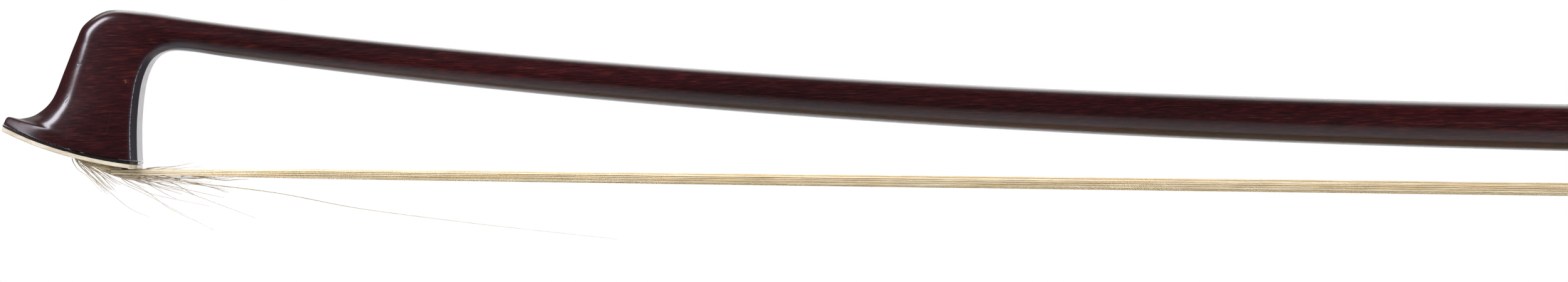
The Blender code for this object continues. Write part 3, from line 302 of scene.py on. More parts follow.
class Shader:
    """A Principled material built node by node, in the piece's own coordinates."""

    def __init__(self, name, **values):
        self.material = bpy.data.materials.new(name)
        self.material.use_nodes = True
        self.tree = self.material.node_tree
        self.main = self.tree.nodes["Principled BSDF"]
        self.place = self.add("ShaderNodeTexCoord").outputs["Object"]
        for key, value in values.items():
            self.main.inputs[key.replace("_", " ")].default_value = value

    def put(self, value, socket):
        if isinstance(value, bpy.types.NodeSocket):
            self.tree.links.new(value, socket)
        else:
            socket.default_value = value

    def add(self, kind, **inputs):
        node = self.tree.nodes.new(kind)
        for key, value in inputs.items():
            self.put(value, node.inputs[key.replace("_", " ")])
        return node

    def stretch(self, scale, turn=(0, 0, 0)):
        node = self.add("ShaderNodeMapping", Vector=self.place, Scale=scale, Rotation=turn)
        return node.outputs["Vector"]

    def noise(self, scale, detail=4.0, roughness=0.55, turn=(0, 0, 0)):
        place = self.stretch(scale, turn)
        inputs = {"Vector": place, "Scale": 1.0, "Detail": detail, "Roughness": roughness}
        return self.add("ShaderNodeTexNoise", **inputs).outputs["Fac"]

    def cells(self, scale):
        node = self.add("ShaderNodeTexVoronoi", Vector=self.stretch(scale), Scale=1.0)
        return node.outputs["Distance"]

    def ramp(self, value, *stops):
        node = self.add("ShaderNodeValToRGB", Fac=value)
        elements = node.color_ramp.elements
        while len(elements) < len(stops):
            elements.new(0.5)
        for element, (spot, color) in zip(elements, stops):
            element.position = spot
            element.color = (*(color if isinstance(color, tuple) else (color,) * 3), 1.0)
        return node.outputs["Color"]

    def blend(self, share, first, second, mode="MIX"):
        node = self.tree.nodes.new("ShaderNodeMix")
        node.data_type = "RGBA"
        node.blend_type = mode
        for place, value in ((0, share), (6, first), (7, second)):
            self.put((*value, 1.0) if isinstance(value, tuple) else value, node.inputs[place])
        return node.outputs[2]

    def maths(self, operation, first, second=0.0):
        node = self.tree.nodes.new("ShaderNodeMath")
        node.operation = operation
        for socket, value in zip(node.inputs, (first, second)):
            self.put(value, socket)
        return node.outputs[0]

    def vector(self, operation, first, second):
        node = self.add("ShaderNodeVectorMath", Vector=first)
        node.operation = operation
        node.inputs[1].default_value = second
        return node

    def attribute(self, name):
        node = self.tree.nodes.new("ShaderNodeAttribute")
        node.attribute_name = name
        return node.outputs["Fac"]

    def color(self, socket):
        self.put(socket, self.main.inputs["Base Color"])

    def roughness(self, value, low, high):
        self.put(self.ramp(value, (0.3, low), (0.7, high)), self.main.inputs["Roughness"])

    def bump(self, height, depth, strength=1.0):
        """Bumps that are as deep as depth, in metres, where height goes from 0 to 1."""
        node = self.add("ShaderNodeBump", Height=height, Distance=depth, Strength=strength)
        self.put(node.outputs["Normal"], self.main.inputs["Normal"])


def scratch_mask(look, x0, z0, x1, z1, half_width):
    """1 along a short stroke on the near side, 0 elsewhere."""
    along = Vector((x1 - x0, 0, z1 - z0)) * MM
    middle = Vector((x0 + x1, 0, z0 + z1)) * MM / 2
    across = Vector((-along.z, 0, along.x)).normalized()
    offset = look.vector("SUBTRACT", look.place, middle).outputs["Vector"]
    reach = look.vector("DOT_PRODUCT", offset, along * 2 / along.length_squared).outputs["Value"]
    side = look.vector("DOT_PRODUCT", offset, across / (half_width * MM)).outputs["Value"]
    taper = look.maths("POWER", look.maths("ABSOLUTE", reach), 3.0)
    widest = look.maths("MAXIMUM", taper, look.maths("ABSOLUTE", side))
    parts = look.add("ShaderNodeSeparateXYZ", Vector=look.place).outputs
    near = look.maths("LESS_THAN", parts["Y"], 0.0)
    return look.maths("MULTIPLY", look.ramp(widest, (0.45, 1.0), (1.0, 0.0)), near)


def pernambuco():
    gloss = {"Coat_Weight": 0.85, "Coat_Roughness": 0.22, "Coat_IOR": 1.5}
    look = Shader("pernambuco_polished", Specular_IOR_Level=0.10, **gloss)

    # The wood's streaks, broad tone and pores
    tilt = (0, math.radians(-3), 0)
    grain = look.noise((330, 2600, 5600), 5.0, 0.66, turn=tilt)
    broad = look.noise((14, 130, 230), 3.0, 0.5, turn=tilt)
    pores = look.noise((420, 4200, 6200), 2.0, 0.5, turn=tilt)
    wood = look.ramp(
        grain,
        (0.30, (0.0080, 0.0008, 0.0016)),
        (0.46, (0.0190, 0.0014, 0.0025)),
        (0.58, (0.0360, 0.0032, 0.0040)),
        (0.72, (0.0900, 0.0170, 0.0090)),
    )
    tone = look.ramp(broad, (0.30, (0.62, 0.55, 0.58)), (0.70, (1.25, 1.20, 1.15)))
    wood = look.blend(1.0, wood, tone, "MULTIPLY")
    dark = look.ramp(pores, (0.30, 0.30), (0.42, 1.0))
    wood = look.blend(0.85, wood, dark, "MULTIPLY")

    # A few pale specks of rosin dust
    specks = look.ramp(look.cells((190, 190, 190)), (0.0, 1.0), (0.016, 0.0))
    chosen = look.ramp(look.noise((95, 95, 95), 1.0), (0.56, 0.0), (0.60, 1.0))
    wood = look.blend(look.maths("MULTIPLY", specks, chosen), wood, (0.42, 0.38, 0.36))

    # The worn spot on the cheek
    from_spot = look.vector("DISTANCE", look.place, WORN_SPOT).outputs["Value"]
    ragged = look.maths("MULTIPLY", look.noise((2600, 2600, 2600), 3.0), 0.9)
    reach = look.maths("ADD", look.maths("DIVIDE", from_spot, MM), ragged)
    worn = look.ramp(reach, (0.75, 1.0), (1.0, 0.0))
    wood = look.blend(look.maths("MULTIPLY", worn, 0.45), wood, (0.30, 0.13, 0.075))

    # Painted shade: the back chamfer painted a bluish near-black that stands in for the dark room
    # it mirrors, and the chamfer's chipped edge
    painted_shade = look.maths("MULTIPLY", look.attribute("painted_shade"), 0.88)
    wood = look.blend(painted_shade, wood, (0.0320, 0.0290, 0.0400))
    chips = look.ramp(look.noise((1500, 1500, 2600), 3.0, 0.7), (0.46, 0.0), (0.56, 1.0))
    rubbed = look.maths("MULTIPLY", look.maths("MULTIPLY", look.attribute("rubbed"), chips), 0.8)
    wood = look.blend(rubbed, wood, (0.50, 0.46, 0.47))

    # Scratches
    marks = None
    for scratch in SCRATCHES:
        mask = scratch_mask(look, *scratch)
        marks = mask if marks is None else look.maths("MAXIMUM", marks, mask)
    look.color(look.blend(look.maths("MULTIPLY", marks, 0.6), wood, (0.010, 0.004, 0.006)))

    # The finish, which is duller on the nose
    look.roughness(grain, 0.40, 0.55)
    from_nose = look.vector("DISTANCE", look.place, DULL_NOSE).outputs["Value"]
    polish = look.ramp(look.maths("DIVIDE", from_nose, DULL_REACH), (0.36, 0.22), (0.62, 0.85))
    look.put(polish, look.main.inputs["Coat Weight"])
    height = look.maths("SUBTRACT", look.maths("MULTIPLY", grain, 0.08), marks)
    look.bump(height, 0.10 * MM)
    coat = look.add("ShaderNodeBump", Height=height, Distance=0.05 * MM)
    look.put(coat.outputs["Normal"], look.main.inputs["Coat Normal"])
    return look.material


def ebony(name="ebony_polished"):
    look = Shader(name, Coat_Weight=0.35, Coat_Roughness=0.10)
    grain = look.noise((90, 1800, 1800), 4.0, 0.6)
    base = look.ramp(grain, (0.35, (0.0045, 0.0042, 0.0050)), (0.7, (0.0150, 0.0115, 0.0100)))
    look.color(base)
    look.roughness(grain, 0.24, 0.36)
    look.bump(grain, 0.008 * MM)
    return look.material


def bone():
    look = Shader("bone_polished", Coat_Weight=0.3, Coat_Roughness=0.15)
    streaks = look.noise((160, 900, 900), 4.0, 0.6)
    stains = look.noise((260, 260, 260), 2.0, 0.5)
    base = look.ramp(streaks, (0.3, (0.58, 0.49, 0.34)), (0.7, (0.78, 0.71, 0.56)))
    stained = look.ramp(stains, (0.58, 0.0), (0.75, 0.5))
    look.color(look.blend(stained, base, (0.42, 0.30, 0.17)))
    look.roughness(streaks, 0.28, 0.45)
    look.bump(streaks, 0.008 * MM)
    return look.material


def horsehair(name, low, high):
    look = Shader(name, Roughness=0.38, Specular_IOR_Level=0.5)
    strand = look.noise((9, 5200, 5200), 1.0, 0.5)
    length = look.noise((260, 900, 900), 2.0, 0.5)
    base = look.ramp(strand, (0.32, low), (0.66, high))
    shade = look.ramp(length, (0.35, 0.84), (0.65, 1.0))
    look.color(look.blend(0.8, base, shade, "MULTIPLY"))
    return look.material


def knot_binding():
    look = Shader("bound_knot_sealed", Coat_Weight=0.3)
    turns = look.noise((400, 400, 5200), 1.0)
    look.color(look.ramp(turns, (0.35, (0.10, 0.022, 0.012)), (0.65, (0.42, 0.13, 0.06))))
    look.roughness(turns, 0.4, 0.7)
    look.bump(turns, 0.03 * MM)
    return look.material


def maple():
    look = Shader("maple_bare")
    grain = look.noise((220, 1300, 1300), 4.0)
    look.color(look.ramp(grain, (0.35, (0.46, 0.28, 0.14)), (0.68, (0.70, 0.50, 0.30))))
    look.roughness(grain, 0.5, 0.7)
    look.bump(grain, 0.015 * MM)
    return look.material


def baleen(name, low, high):
    """Whalebone strip: fine streaks that run round the stick with the winding."""
    look = Shader(name, Coat_Weight=0.4, Coat_Roughness=0.15)
    streaks = look.noise((5200, 260, 260), 3.0, 0.6)
    patches = look.noise((330, 330, 330), 2.0)
    base = look.ramp(streaks, (0.32, low), (0.68, high))
    look.color(look.blend(0.6, base, look.ramp(patches, (0.3, 0.6), (0.7, 1.0)), "MULTIPLY"))
    look.roughness(streaks, 0.25, 0.45)
    look.bump(streaks, 0.015 * MM)
    return look.material


def leather():
    look = Shader("thumb_leather_goat", Specular_IOR_Level=0.45)
    pebbles = look.cells((1500, 1500, 1500))
    creases = look.noise((900, 500, 500), 4.0, 0.6)
    worn = look.noise((120, 160, 160), 3.0)
    base = look.ramp(creases, (0.3, (0.020, 0.009, 0.006)), (0.7, (0.066, 0.032, 0.019)))
    rubbed = look.ramp(worn, (0.5, 0.0), (0.75, 0.55))
    look.color(look.blend(rubbed, base, (0.115, 0.058, 0.034)))
    look.roughness(worn, 0.62, 0.42)
    height = look.maths("ADD", look.ramp(pebbles, (0.1, 1.0), (0.7, 0.0)), creases)
    look.bump(height, 0.045 * MM)
    return look.material


def silver():
    look = Shader("silver_worn", Metallic=1.0)
    scratches = look.noise((700, 2600, 2600), 3.0, 0.6)
    tarnish = look.noise((210, 210, 210), 3.0, 0.6)
    look.color(look.ramp(tarnish, (0.35, (0.80, 0.79, 0.76)), (0.72, (0.56, 0.51, 0.43))))
    look.roughness(scratches, 0.16, 0.30)
    look.bump(scratches, 0.004 * MM)
    return look.material


def pearl():
    look = Shader("pearl_nacre", Coat_Weight=0.7, Coat_Roughness=0.06, Specular_IOR_Level=0.6)
    layers = look.noise((170, 420, 420), 3.0, 0.55)
    play = look.ramp(
        layers,
        (0.30, (0.52, 0.66, 0.62)),
        (0.42, (0.80, 0.82, 0.80)),
        (0.52, (0.83, 0.66, 0.68)),
        (0.62, (0.80, 0.84, 0.78)),
        (0.74, (0.50, 0.62, 0.74)),
    )
    look.color(play)
    look.roughness(layers, 0.12, 0.26)
    look.bump(layers, 0.02 * MM, 0.6)
    return look.material


def metal(name, low, high, rough, thread=0.0):
    """Turned metal. thread is the pitch of a thread that runs along X, or 0 for none."""
    look = Shader(name, Metallic=1.0)
    marks = look.noise((5200, 300, 300), 2.0)
    look.color(look.ramp(marks, (0.3, low), (0.7, high)))
    look.roughness(marks, *rough)
    if thread:
        wave = look.add("ShaderNodeTexWave", Vector=look.place)
        wave.inputs["Scale"].default_value = math.pi / 10 / thread
        look.bump(wave.outputs["Fac"], 0.25 * MM)
    else:
        look.bump(marks, 0.004 * MM)
    return look.material


# Building


def dress(piece, material, body=None):
    piece.data.materials.clear()
    piece.data.materials.append(material)
    if body:
        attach(piece, body)


def add_object(name, data):
    made = bpy.data.objects.new(name, data)
    bpy.context.scene.collection.objects.link(made)
    return made


def mesh_from(name, work, angle=30.0):
    bmesh.ops.recalc_face_normals(work, faces=work.faces)
    mesh = bpy.data.meshes.new(name)
    work.to_mesh(mesh)
    work.free()
    mesh.shade_smooth()
    mesh.set_sharp_from_angle(angle=math.radians(angle))
    return mesh


def loft(name, rings, closed=False, flats=(0, 0), angle=30.0):
    """A solid through rings. flats counts a cap's points in line, at its back and its front."""
    work = bmesh.new()
    loops = [[work.verts.new(point) for point in ring] for ring in rings]
    pairs = list(zip(loops, loops[1:]))
    if closed:
        pairs.append((loops[-1], loops[0]))
    count = len(rings[0])
    for lower, upper in pairs:
        for i in range(count):
            j = (i + 1) % count
            work.faces.new((lower[i], lower[j], upper[j], upper[i]))
    if not closed:
        cap(work, loops[0], flats)
        cap(work, loops[-1], flats)
    return add_object(name, mesh_from(name, work, angle))


def cap(work, loop, flats):
    back, front = flats
    half = len(loop) // 2
    if not back:
        work.faces.new(loop)
        return
    work.faces.new(loop[-back - 1 :] + loop[: back + 2])
    for i in range(back + 1, half - front - 1):
        work.faces.new((loop[i], loop[i + 1], loop[-i - 1], loop[-i]))
    work.faces.new(loop[half - front - 1 : half + front + 2])


def cut(piece, *tools):
    """Cut the tools out of a piece for good. The tools stay, for their maker to remove."""
    for tool in tools:
        modifier = piece.modifiers.new(tool.name, "BOOLEAN")
        modifier.object = tool
        modifier.operation = "DIFFERENCE"
        modifier.solver = "EXACT"
    graph = bpy.context.evaluated_depsgraph_get()
    mesh = bpy.data.meshes.new_from_object(piece.evaluated_get(graph))
    piece.modifiers.clear()
    piece.data = mesh
    mesh.name = piece.name


def box_tool(name, low, high, matrix=None):
    low, high = Vector(low), Vector(high)
    work = bmesh.new()
    sized = Matrix.Translation((low + high) / 2) @ Matrix.Diagonal((high - low).to_4d())
    bmesh.ops.create_cube(work, size=1.0, matrix=sized)
    tool = add_object(name, mesh_from(name, work))
    if matrix is not None:
        tool.matrix_world = matrix
    return tool


def round_tool(name, start, end, radius):
    start, end = Vector(start), Vector(end)
    work = bmesh.new()
    place = Matrix.Translation((start + end) / 2) @ Matrix.Rotation(math.pi / 2, 4, "Y")
    size = {"radius1": radius, "radius2": radius, "depth": (end - start).length}
    bmesh.ops.create_cone(work, cap_ends=True, segments=48, matrix=place, **size)
    return add_object(name, mesh_from(name, work))


# Stick and head


def x_at(along):
    return along - ORIGIN_ALONG


def axis_height(along):
    if along >= HANDLE_START:
        return 0.0
    left = (HANDLE_START - along) / CAMBER_LENGTH
    return CAMBER_DROP * (math.exp(-along / CAMBER_LENGTH) - CAMBER_END * (1 + left))


def axis_frame(along):
    """The frame on the stick's axis: x along it, z away from the hair."""
    angle = 0.0
    if along < HANDLE_START:
        left = math.exp(-along / CAMBER_LENGTH) - CAMBER_END
        angle = math.atan(CAMBER_DROP / CAMBER_LENGTH * left)
    place = Matrix.Translation((x_at(along), 0, axis_height(along)))
    return place @ Matrix.Rotation(angle, 4, "Y")


def ring_places():
    """Places round half a section, each with the edge it rounds off and how far round it is."""
    places = []
    for i in range(FRONT * PLACES_A_UNIT + 1):
        place = i / PLACES_A_UNIT
        if not any(edge - low < place < edge + high for edge, (low, high) in CORNERS.items()):
            places.append((place, None))
    for edge, (low, high) in CORNERS.items():
        for k in range(CORNER_STEPS + 1):
            share = k / CORNER_STEPS
            places.append((edge + mix(-low, high, share), (edge, share)))
    return sorted(places, key=lambda place: place[0])


PLACES = ring_places()
HALF_RING = len(PLACES) - 1

# Places in line between the middle and the first edge, at the back and at the front
FLAT_BACK = sum(0 < place < BACK_EDGE - CORNERS[BACK_EDGE][0] + 0.01 for place, _ in PLACES)
FLAT_FRONT = sum(
    RIDGE_EDGE + CORNERS[RIDGE_EDGE][1] - 0.01 < place < FRONT for place, _ in PLACES
)


def ring_of(point_at):
    """A full ring from a function of the place on the half ring and of the side."""
    near = [point_at(i, 1) for i in range(HALF_RING + 1)]
    far = [point_at(i, -1) for i in range(HALF_RING - 1, 0, -1)]
    return near + far


def stick_radius(along, angle):
    thin = math.exp(-(along - NECK_ALONG) / TAPER_LENGTH)
    round_radius = mix(HANDLE_DIAMETER, NECK_DIAMETER, thin) / 2
    share = smooth_step((along - OCTAGON_START) / OCTAGON_BLEND)
    return mix(round_radius, octagon_radius(angle), share)


def octagon_radius(angle):
    """The handle's octagon, with a little taken off its corners."""
    corner = math.radians(45)
    within = (angle + corner / 2) % corner - corner / 2
    widest = HANDLE_FLATS / 2 / math.cos(corner / 2) - OCTAGON_ROUNDING
    return min(HANDLE_FLATS / 2 / math.cos(within), widest)


def round_the_axis(along, radius_at):
    place = axis_frame(along)

    def point(i, side):
        angle = math.pi * PLACES[i][0] / FRONT
        radius = radius_at(angle)
        return place @ Vector((0, side * radius * math.sin(angle), -radius * math.cos(angle)))

    return ring_of(point)


def face_height(x):
    return FACE_LOW_Z + (x - FACE_LOW_X) ** 2 / (2 * FACE_RADIUS)


def face_share(x):
    return (FACE_HEEL - x) / (FACE_HEEL - FACE_NOSE)


def liner_thickness(x):
    return mix(LINER_HEEL, LINER_NOSE, face_share(x))


def plate_thickness(x):
    return mix(PLATE_HEEL, PLATE_NOSE, face_share(x))


def wood_face(x):
    return face_height(x) + liner_thickness(x) + SEAM


def half_section(place, depth, width, back_flat, bevel, front_width, nose_flat):
    """A point of a sharp-edged head section, as (distance from the back, half width)."""
    chamfer = min(BACK_CHAMFER, depth / 4)
    bevel = min(bevel, depth / 4)
    if place <= BACK_EDGE:
        return Vector((0.0, back_flat * place / (2 * BACK_EDGE)))
    if place <= CHEEK_EDGE:
        share = (place - BACK_EDGE) / (CHEEK_EDGE - BACK_EDGE)
        return Vector((chamfer * share, mix(back_flat, width, share) / 2))
    if place <= BEVEL_EDGE:
        share = (place - CHEEK_EDGE) / (BEVEL_EDGE - CHEEK_EDGE)
        across = mix(width, front_width, share**CHEEK_POWER)
        return Vector((mix(chamfer, depth - bevel, share), across / 2))
    if place <= RIDGE_EDGE:
        share = (place - BEVEL_EDGE) / (RIDGE_EDGE - BEVEL_EDGE)
        return Vector((depth - bevel * (1 - share), mix(front_width, nose_flat, share) / 2))
    return Vector((depth, nose_flat / 2 * (FRONT - place)))


def section_point(i, *sizes):
    """The same section with its edges rounded off."""
    place, edge = PLACES[i]
    if edge is None:
        return half_section(place, *sizes)
    corner, share = edge
    before = half_section(corner - CORNERS[corner][0], *sizes)
    after = half_section(corner + CORNERS[corner][1], *sizes)
    middle = half_section(corner, *sizes)
    return before * (1 - share) ** 2 + middle * 2 * share * (1 - share) + after * share**2


def head_ring(share):
    """A section of the head. share is 0 where the head leaves the stick and 1 at its face."""
    start = NECK_ALONG + HEAD_START
    to_head = axis_frame(NECK_ALONG).inverted() @ axis_frame(start)
    radius = stick_radius(start, 0.0)
    top, low = to_head @ Vector((0, 0, radius)), to_head @ Vector((0, 0, -radius))
    nose = Vector((FACE_NOSE, wood_face(FACE_NOSE)))
    heel = Vector((FACE_HEEL, wood_face(FACE_HEEL)))
    front = spline_point([Vector((top.x, top.z))] + HEAD_FRONT + [nose], share)
    back = spline_point([Vector((low.x, low.z))] + HEAD_BACK + [heel], share)
    depth = (front - back).length
    along = (front - back).normalized()
    base = smooth_step((share - FACE_BLEND_START) / FACE_BLEND)
    width = mix(2 * radius, HEAD_WIDTH, smooth_step(share) ** WIDTH_POWER)
    sizes = (
        depth,
        width,
        mix(width * NECK_FLAT, BACK_FLAT, share),
        spline_point(BEVEL_DEPTHS, share).x,
        width * CHEEK_TAPER,
        mix(RIDGE_FLAT, NOSE_WIDTH, base**3),
    )
    headed = smooth_step(share / HEADED_SHARE)
    neck = axis_frame(NECK_ALONG)

    def point(i, side):
        angle = math.pi * PLACES[i][0] / FRONT
        section = section_point(i, *sizes)
        reach = mix(depth * (1 - math.cos(angle)) / 2, section.x, headed)
        across = mix(radius * math.sin(angle), section.y, headed)
        spot = back + along * reach
        on_face = Vector((spot.x, wood_face(spot.x)))
        spot = spot.lerp(on_face, base**3)
        return neck @ Vector((spot.x, side * across, spot.y))

    return ring_of(point)


def face_ring(height, inset=0.0):
    """The outline of the head's face, at the height that a function of x gives."""
    depth = math.hypot(FACE_HEEL - FACE_NOSE, wood_face(FACE_HEEL) - wood_face(FACE_NOSE))
    front_width = HEAD_WIDTH * CHEEK_TAPER
    sizes = (depth, HEAD_WIDTH, BACK_FLAT, BEVEL_DEPTHS[-1].x, front_width, NOSE_WIDTH)
    neck = axis_frame(NECK_ALONG)

    def point(i, side):
        section = section_point(i, *sizes)
        reach = min(max(section.x, inset), depth - inset)
        x = mix(FACE_HEEL, FACE_NOSE, reach / depth)
        across = max(section.y - inset, 0.0) if section.y > 0 else 0.0
        return neck @ Vector((x, side * across, height(x)))

    return ring_of(point)


def head_mortise():
    low = (MORTISE_FRONT, -MORTISE_HALF_WIDTH, FACE_LOW_Z - 3 * PLATE_HEEL)
    high = (MORTISE_BACK, MORTISE_HALF_WIDTH, MORTISE_TOP)
    return box_tool("head_mortise", low, high, axis_frame(NECK_ALONG))


def mark_back_chamfer(mesh):
    """The head's back chamfer gets painted shade, and is rubbed bare on the edge towards the
    cheek.

    The painted shade is a bluish near-black that stands in for the dark room the chamfer mirrors.
    It lies between the places low and high of a section. Where the head leaves the stick it covers
    the whole back and fades out.
    """
    # Painted shade on the back chamfer: how strongly the bluish near-black covers each point
    painted_shade = mesh.attributes.new("painted_shade", "FLOAT", "POINT")
    rubbed = mesh.attributes.new("rubbed", "FLOAT", "POINT")
    size = 2 * HALF_RING
    for ring in range(HEAD_RINGS):
        share = 1 - ring / HEAD_RINGS
        low = 1.9 * smooth_step((share - 0.12) / 0.14)
        high = mix(5.2, CHEEK_EDGE, smooth_step((share - 0.06) / 0.26))
        strength = smooth_step((share - 0.03) / 0.13)
        bare = smooth_step((share - 0.38) / 0.12)
        for i in range(size):
            place, edge = PLACES[min(i, size - i)]
            within = smooth_step((place - low) / 0.1 + 1) * smooth_step((high - place) / 0.3 + 1)
            painted_shade.data[ring * size + i].value = within * strength
            if edge and edge[0] == CHEEK_EDGE:
                on_edge = max(1 - abs(edge[1] - 0.4) / 0.3, 0.0)
                rubbed.data[ring * size + i].value = on_edge * bare


def make_stick(mortise):
    rings = [head_ring(1 - i / HEAD_RINGS) for i in range(HEAD_RINGS)]
    start = NECK_ALONG + HEAD_START
    stations = [
        mix(start, OCTAGON_START, (i / ROUND_RINGS) ** ROUND_CROWDING) for i in range(ROUND_RINGS)
    ]
    for i in range(OCTAGON_RINGS):
        stations.append(OCTAGON_START + OCTAGON_BLEND * i / (OCTAGON_RINGS - 1))
    for along in stations:
        rings.append(round_the_axis(along, lambda angle: stick_radius(along, angle)))
    for back, trim in ((END_TRIM, 0.0), (0.0, END_TRIM)):
        along = STICK_LENGTH - back
        rings.append(round_the_axis(along, lambda angle: stick_radius(along, angle) - trim))
    for along in (STICK_LENGTH, STICK_LENGTH + NIPPLE_LENGTH):
        rings.append(round_the_axis(along, lambda angle: NIPPLE_DIAMETER / 2))
    stick = loft("stick_fine", rings, flats=(FLAT_BACK, FLAT_FRONT))
    mark_back_chamfer(stick.data)
    low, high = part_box("eyelet")
    slot = box_tool(
        "slot_tool",
        (low.x - SLOT_FRONT_ROOM, low.y - CLEARANCE, -HANDLE_FLATS),
        (high.x + SLOT_BACK_ROOM, high.y + CLEARANCE, high.z + CLEARANCE),
    )
    low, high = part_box("screw")
    bore_radius = (high.z - low.z) / 2 + CLEARANCE
    bore = round_tool("bore_tool", (low.x - CLEARANCE, 0, 0), (high.x, 0, 0), bore_radius)
    cut(stick, mortise, slot, bore)
    bpy.data.objects.remove(slot)
    bpy.data.objects.remove(bore)
    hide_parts("stick")
    dress(stick, pernambuco(), STICK)


def make_head_trim(mortise):
    flats = (FLAT_BACK, FLAT_FRONT)
    rings = [face_ring(face_height), face_ring(lambda x: face_height(x) + liner_thickness(x))]
    liner = loft("liner_fine", rings, flats=flats)
    cut(liner, mortise)
    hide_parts("head_liner")
    dress(liner, ebony("liner_ebony"), STICK)

    def underside(x):
        return face_height(x) - SEAM - plate_thickness(x)

    rings = [
        face_ring(underside, PLATE_EDGE),
        face_ring(lambda x: underside(x) + PLATE_EDGE),
        face_ring(lambda x: face_height(x) - SEAM),
    ]
    plate = loft("tip_plate_fine", rings, flats=flats)
    cut(plate, mortise)
    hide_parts("tip_plate")
    dress(plate, bone(), STICK)


# Hair


def add_strand(work, points, radius, tip=1.0):
    """A thin tube along points that lie near one upright plane, thinned to tip at its end."""
    last = None
    count = len(points)
    for i, point in enumerate(points):
        along = (points[min(i + 1, count - 1)] - points[max(i - 1, 0)]).normalized()
        side = Vector((0, 1, 0))
        up = side.cross(along).normalized()
        thick = radius * mix(1.0, tip, (i / (count - 1)) ** STRAND_TAPER)
        ring = []
        for k in range(STRAND_SIDES):
            angle = 2 * math.pi * k / STRAND_SIDES
            offset = (side * math.cos(angle) + up * math.sin(angle)) * thick
            ring.append(work.verts.new(point + offset))
        if last:
            for k in range(STRAND_SIDES):
                m = (k + 1) % STRAND_SIDES
                work.faces.new((last[k], last[m], ring[m], ring[k]))
        else:
            work.faces.new(ring[::-1])
        last = ring
    work.faces.new(last)


def route_spot(share):
    """The ribbon's middle and width, with share from 0 to 1 over the points of its route."""
    spots = [spot for spot, _ in HAIR_ROUTE]
    widths = [Vector((width, 0)) for _, width in HAIR_ROUTE]
    return spline_point(spots, share), spline_point(widths, share).x


def route_stations():
    """Shares of the route, close together at its bends and far apart on its free run."""
    count = len(HAIR_ROUTE) - 1
    stations = []
    for i in range(count):
        steps = LONG_ROUTE_STEPS.get(i, ROUTE_STEPS)
        stations += [(i + j / steps) / count for j in range(steps)]
    return stations + [1.0]


def make_hair():
    """The ribbon: columns and layers of long hairs, with a few more that stand off as a fringe."""
    chance = random.Random(11)
    work = bmesh.new()
    frames = []
    for share in route_stations():
        spot, width = route_spot(share)
        before, _ = route_spot(max(share - ROUTE_NUDGE, 0.0))
        after, _ = route_spot(min(share + ROUTE_NUDGE, 1.0))
        along = (after - before).normalized()
        up = Vector((-along.z, 0, along.x))
        free = smooth_step((spot.x - FREE_START) / FREE_RISE)
        free *= smooth_step((FREE_END - spot.x) / FREE_FALL)
        run = min(max((spot.x - SWAY_START) / SWAY_RUN, 0.0), 1.0)
        sway = math.sin(math.pi * run) ** SWAY_POWER
        frames.append((spot, up, width - 2 * HAIR_RADIUS, free, sway))
    hairs = [(column, layer) for column in range(HAIR_COLUMNS) for layer in range(HAIR_LAYERS)]
    hairs += [(chance.uniform(0, HAIR_COLUMNS), None) for _ in range(FRINGE_HAIRS)]
    for column, layer in hairs:
        across = (column + chance.uniform(0.0, 1.0)) / HAIR_COLUMNS - 0.5
        across = min(max(across, -0.5), 0.5)
        slack = chance.gauss(0.0, 0.03)
        if layer is None:
            height = chance.uniform(-0.45, 0.45)
            slack = math.copysign(chance.uniform(*FRINGE_REACH) - FRINGE_INSET, height)
        else:
            height = (layer + chance.uniform(0.1, 0.9)) / HAIR_LAYERS - 0.5
        loose = height * chance.uniform(0.85, 1.12)
        phase, drift = chance.uniform(0, 2 * math.pi), chance.uniform(0.0, 0.012)
        points = []
        for spot, up, width, free, sway in frames:
            lift = mix(HAIR_TIGHT * height, HAIR_LOOSE * loose, free) + slack * MM * sway
            wander = drift * sway * math.sin(phase + spot.x * 22)
            side = min(max(across + wander, -0.5), 0.5) * width
            points.append(spot + up * lift + Vector((0, side, 0)))
        add_strand(work, points, HAIR_RADIUS * chance.uniform(0.8, 1.1))
    hair = add_object("hair_strands", mesh_from("hair_strands", work, 180.0))
    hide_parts("hair_ribbon")
    dress(hair, horsehair("horsehair_long", (0.78, 0.60, 0.32), (0.98, 0.87, 0.62)))
    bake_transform(hair)


def make_broken_hairs():
    """A fan of broken hairs that leaves the bundle under the head."""
    chance = random.Random(5)
    work = bmesh.new()
    for count, *spots in BROKEN_STRANDS:
        middle = [Vector((x, 0, z)) * MM for x, z in spots]
        for i in range(count):
            reach = 1.0 if i == 0 else chance.uniform(0.55, 1.04)
            bend = chance.gauss(0.0, 0.06) if i else 0.0
            lift = chance.uniform(-0.45, 0.45) * MM if i else 0.0
            wave, phase = chance.uniform(0.0, 0.22) * MM, chance.uniform(0, 2 * math.pi)
            start, splay = chance.uniform(-2.6, 2.6) * MM, chance.uniform(-0.16, 0.16)
            steps = 4 * len(spots)
            points = []
            for k in range(steps + 1):
                share = k / steps
                if reach <= 1:
                    spot = spline_point(middle, share * reach)
                else:
                    spot = spline_point(middle, share) * reach + middle[0] * (1 - reach)
                run = spot.x - middle[0].x
                side = start * (1 + 0.25 * share) + splay * run
                side = min(max(side, -BROKEN_SPREAD), BROKEN_SPREAD)
                sway = wave * share * math.sin(phase + 5 * share)
                points.append(spot + Vector((0, side, lift + bend * run * share + sway)))
            thick = BROKEN_RADIUS * chance.uniform(0.65, 1.1) * (LONE_HAIR if count == 1 else 1.0)
            add_strand(work, points, thick, BROKEN_TIP)
    hairs = add_object("broken_strands", mesh_from("broken_strands", work, 180.0))
    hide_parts("broken_hairs")
    look = horsehair("horsehair_broken", (0.66, 0.50, 0.31), (0.97, 0.88, 0.71))
    dress(hairs, look, STICK)


# Handle


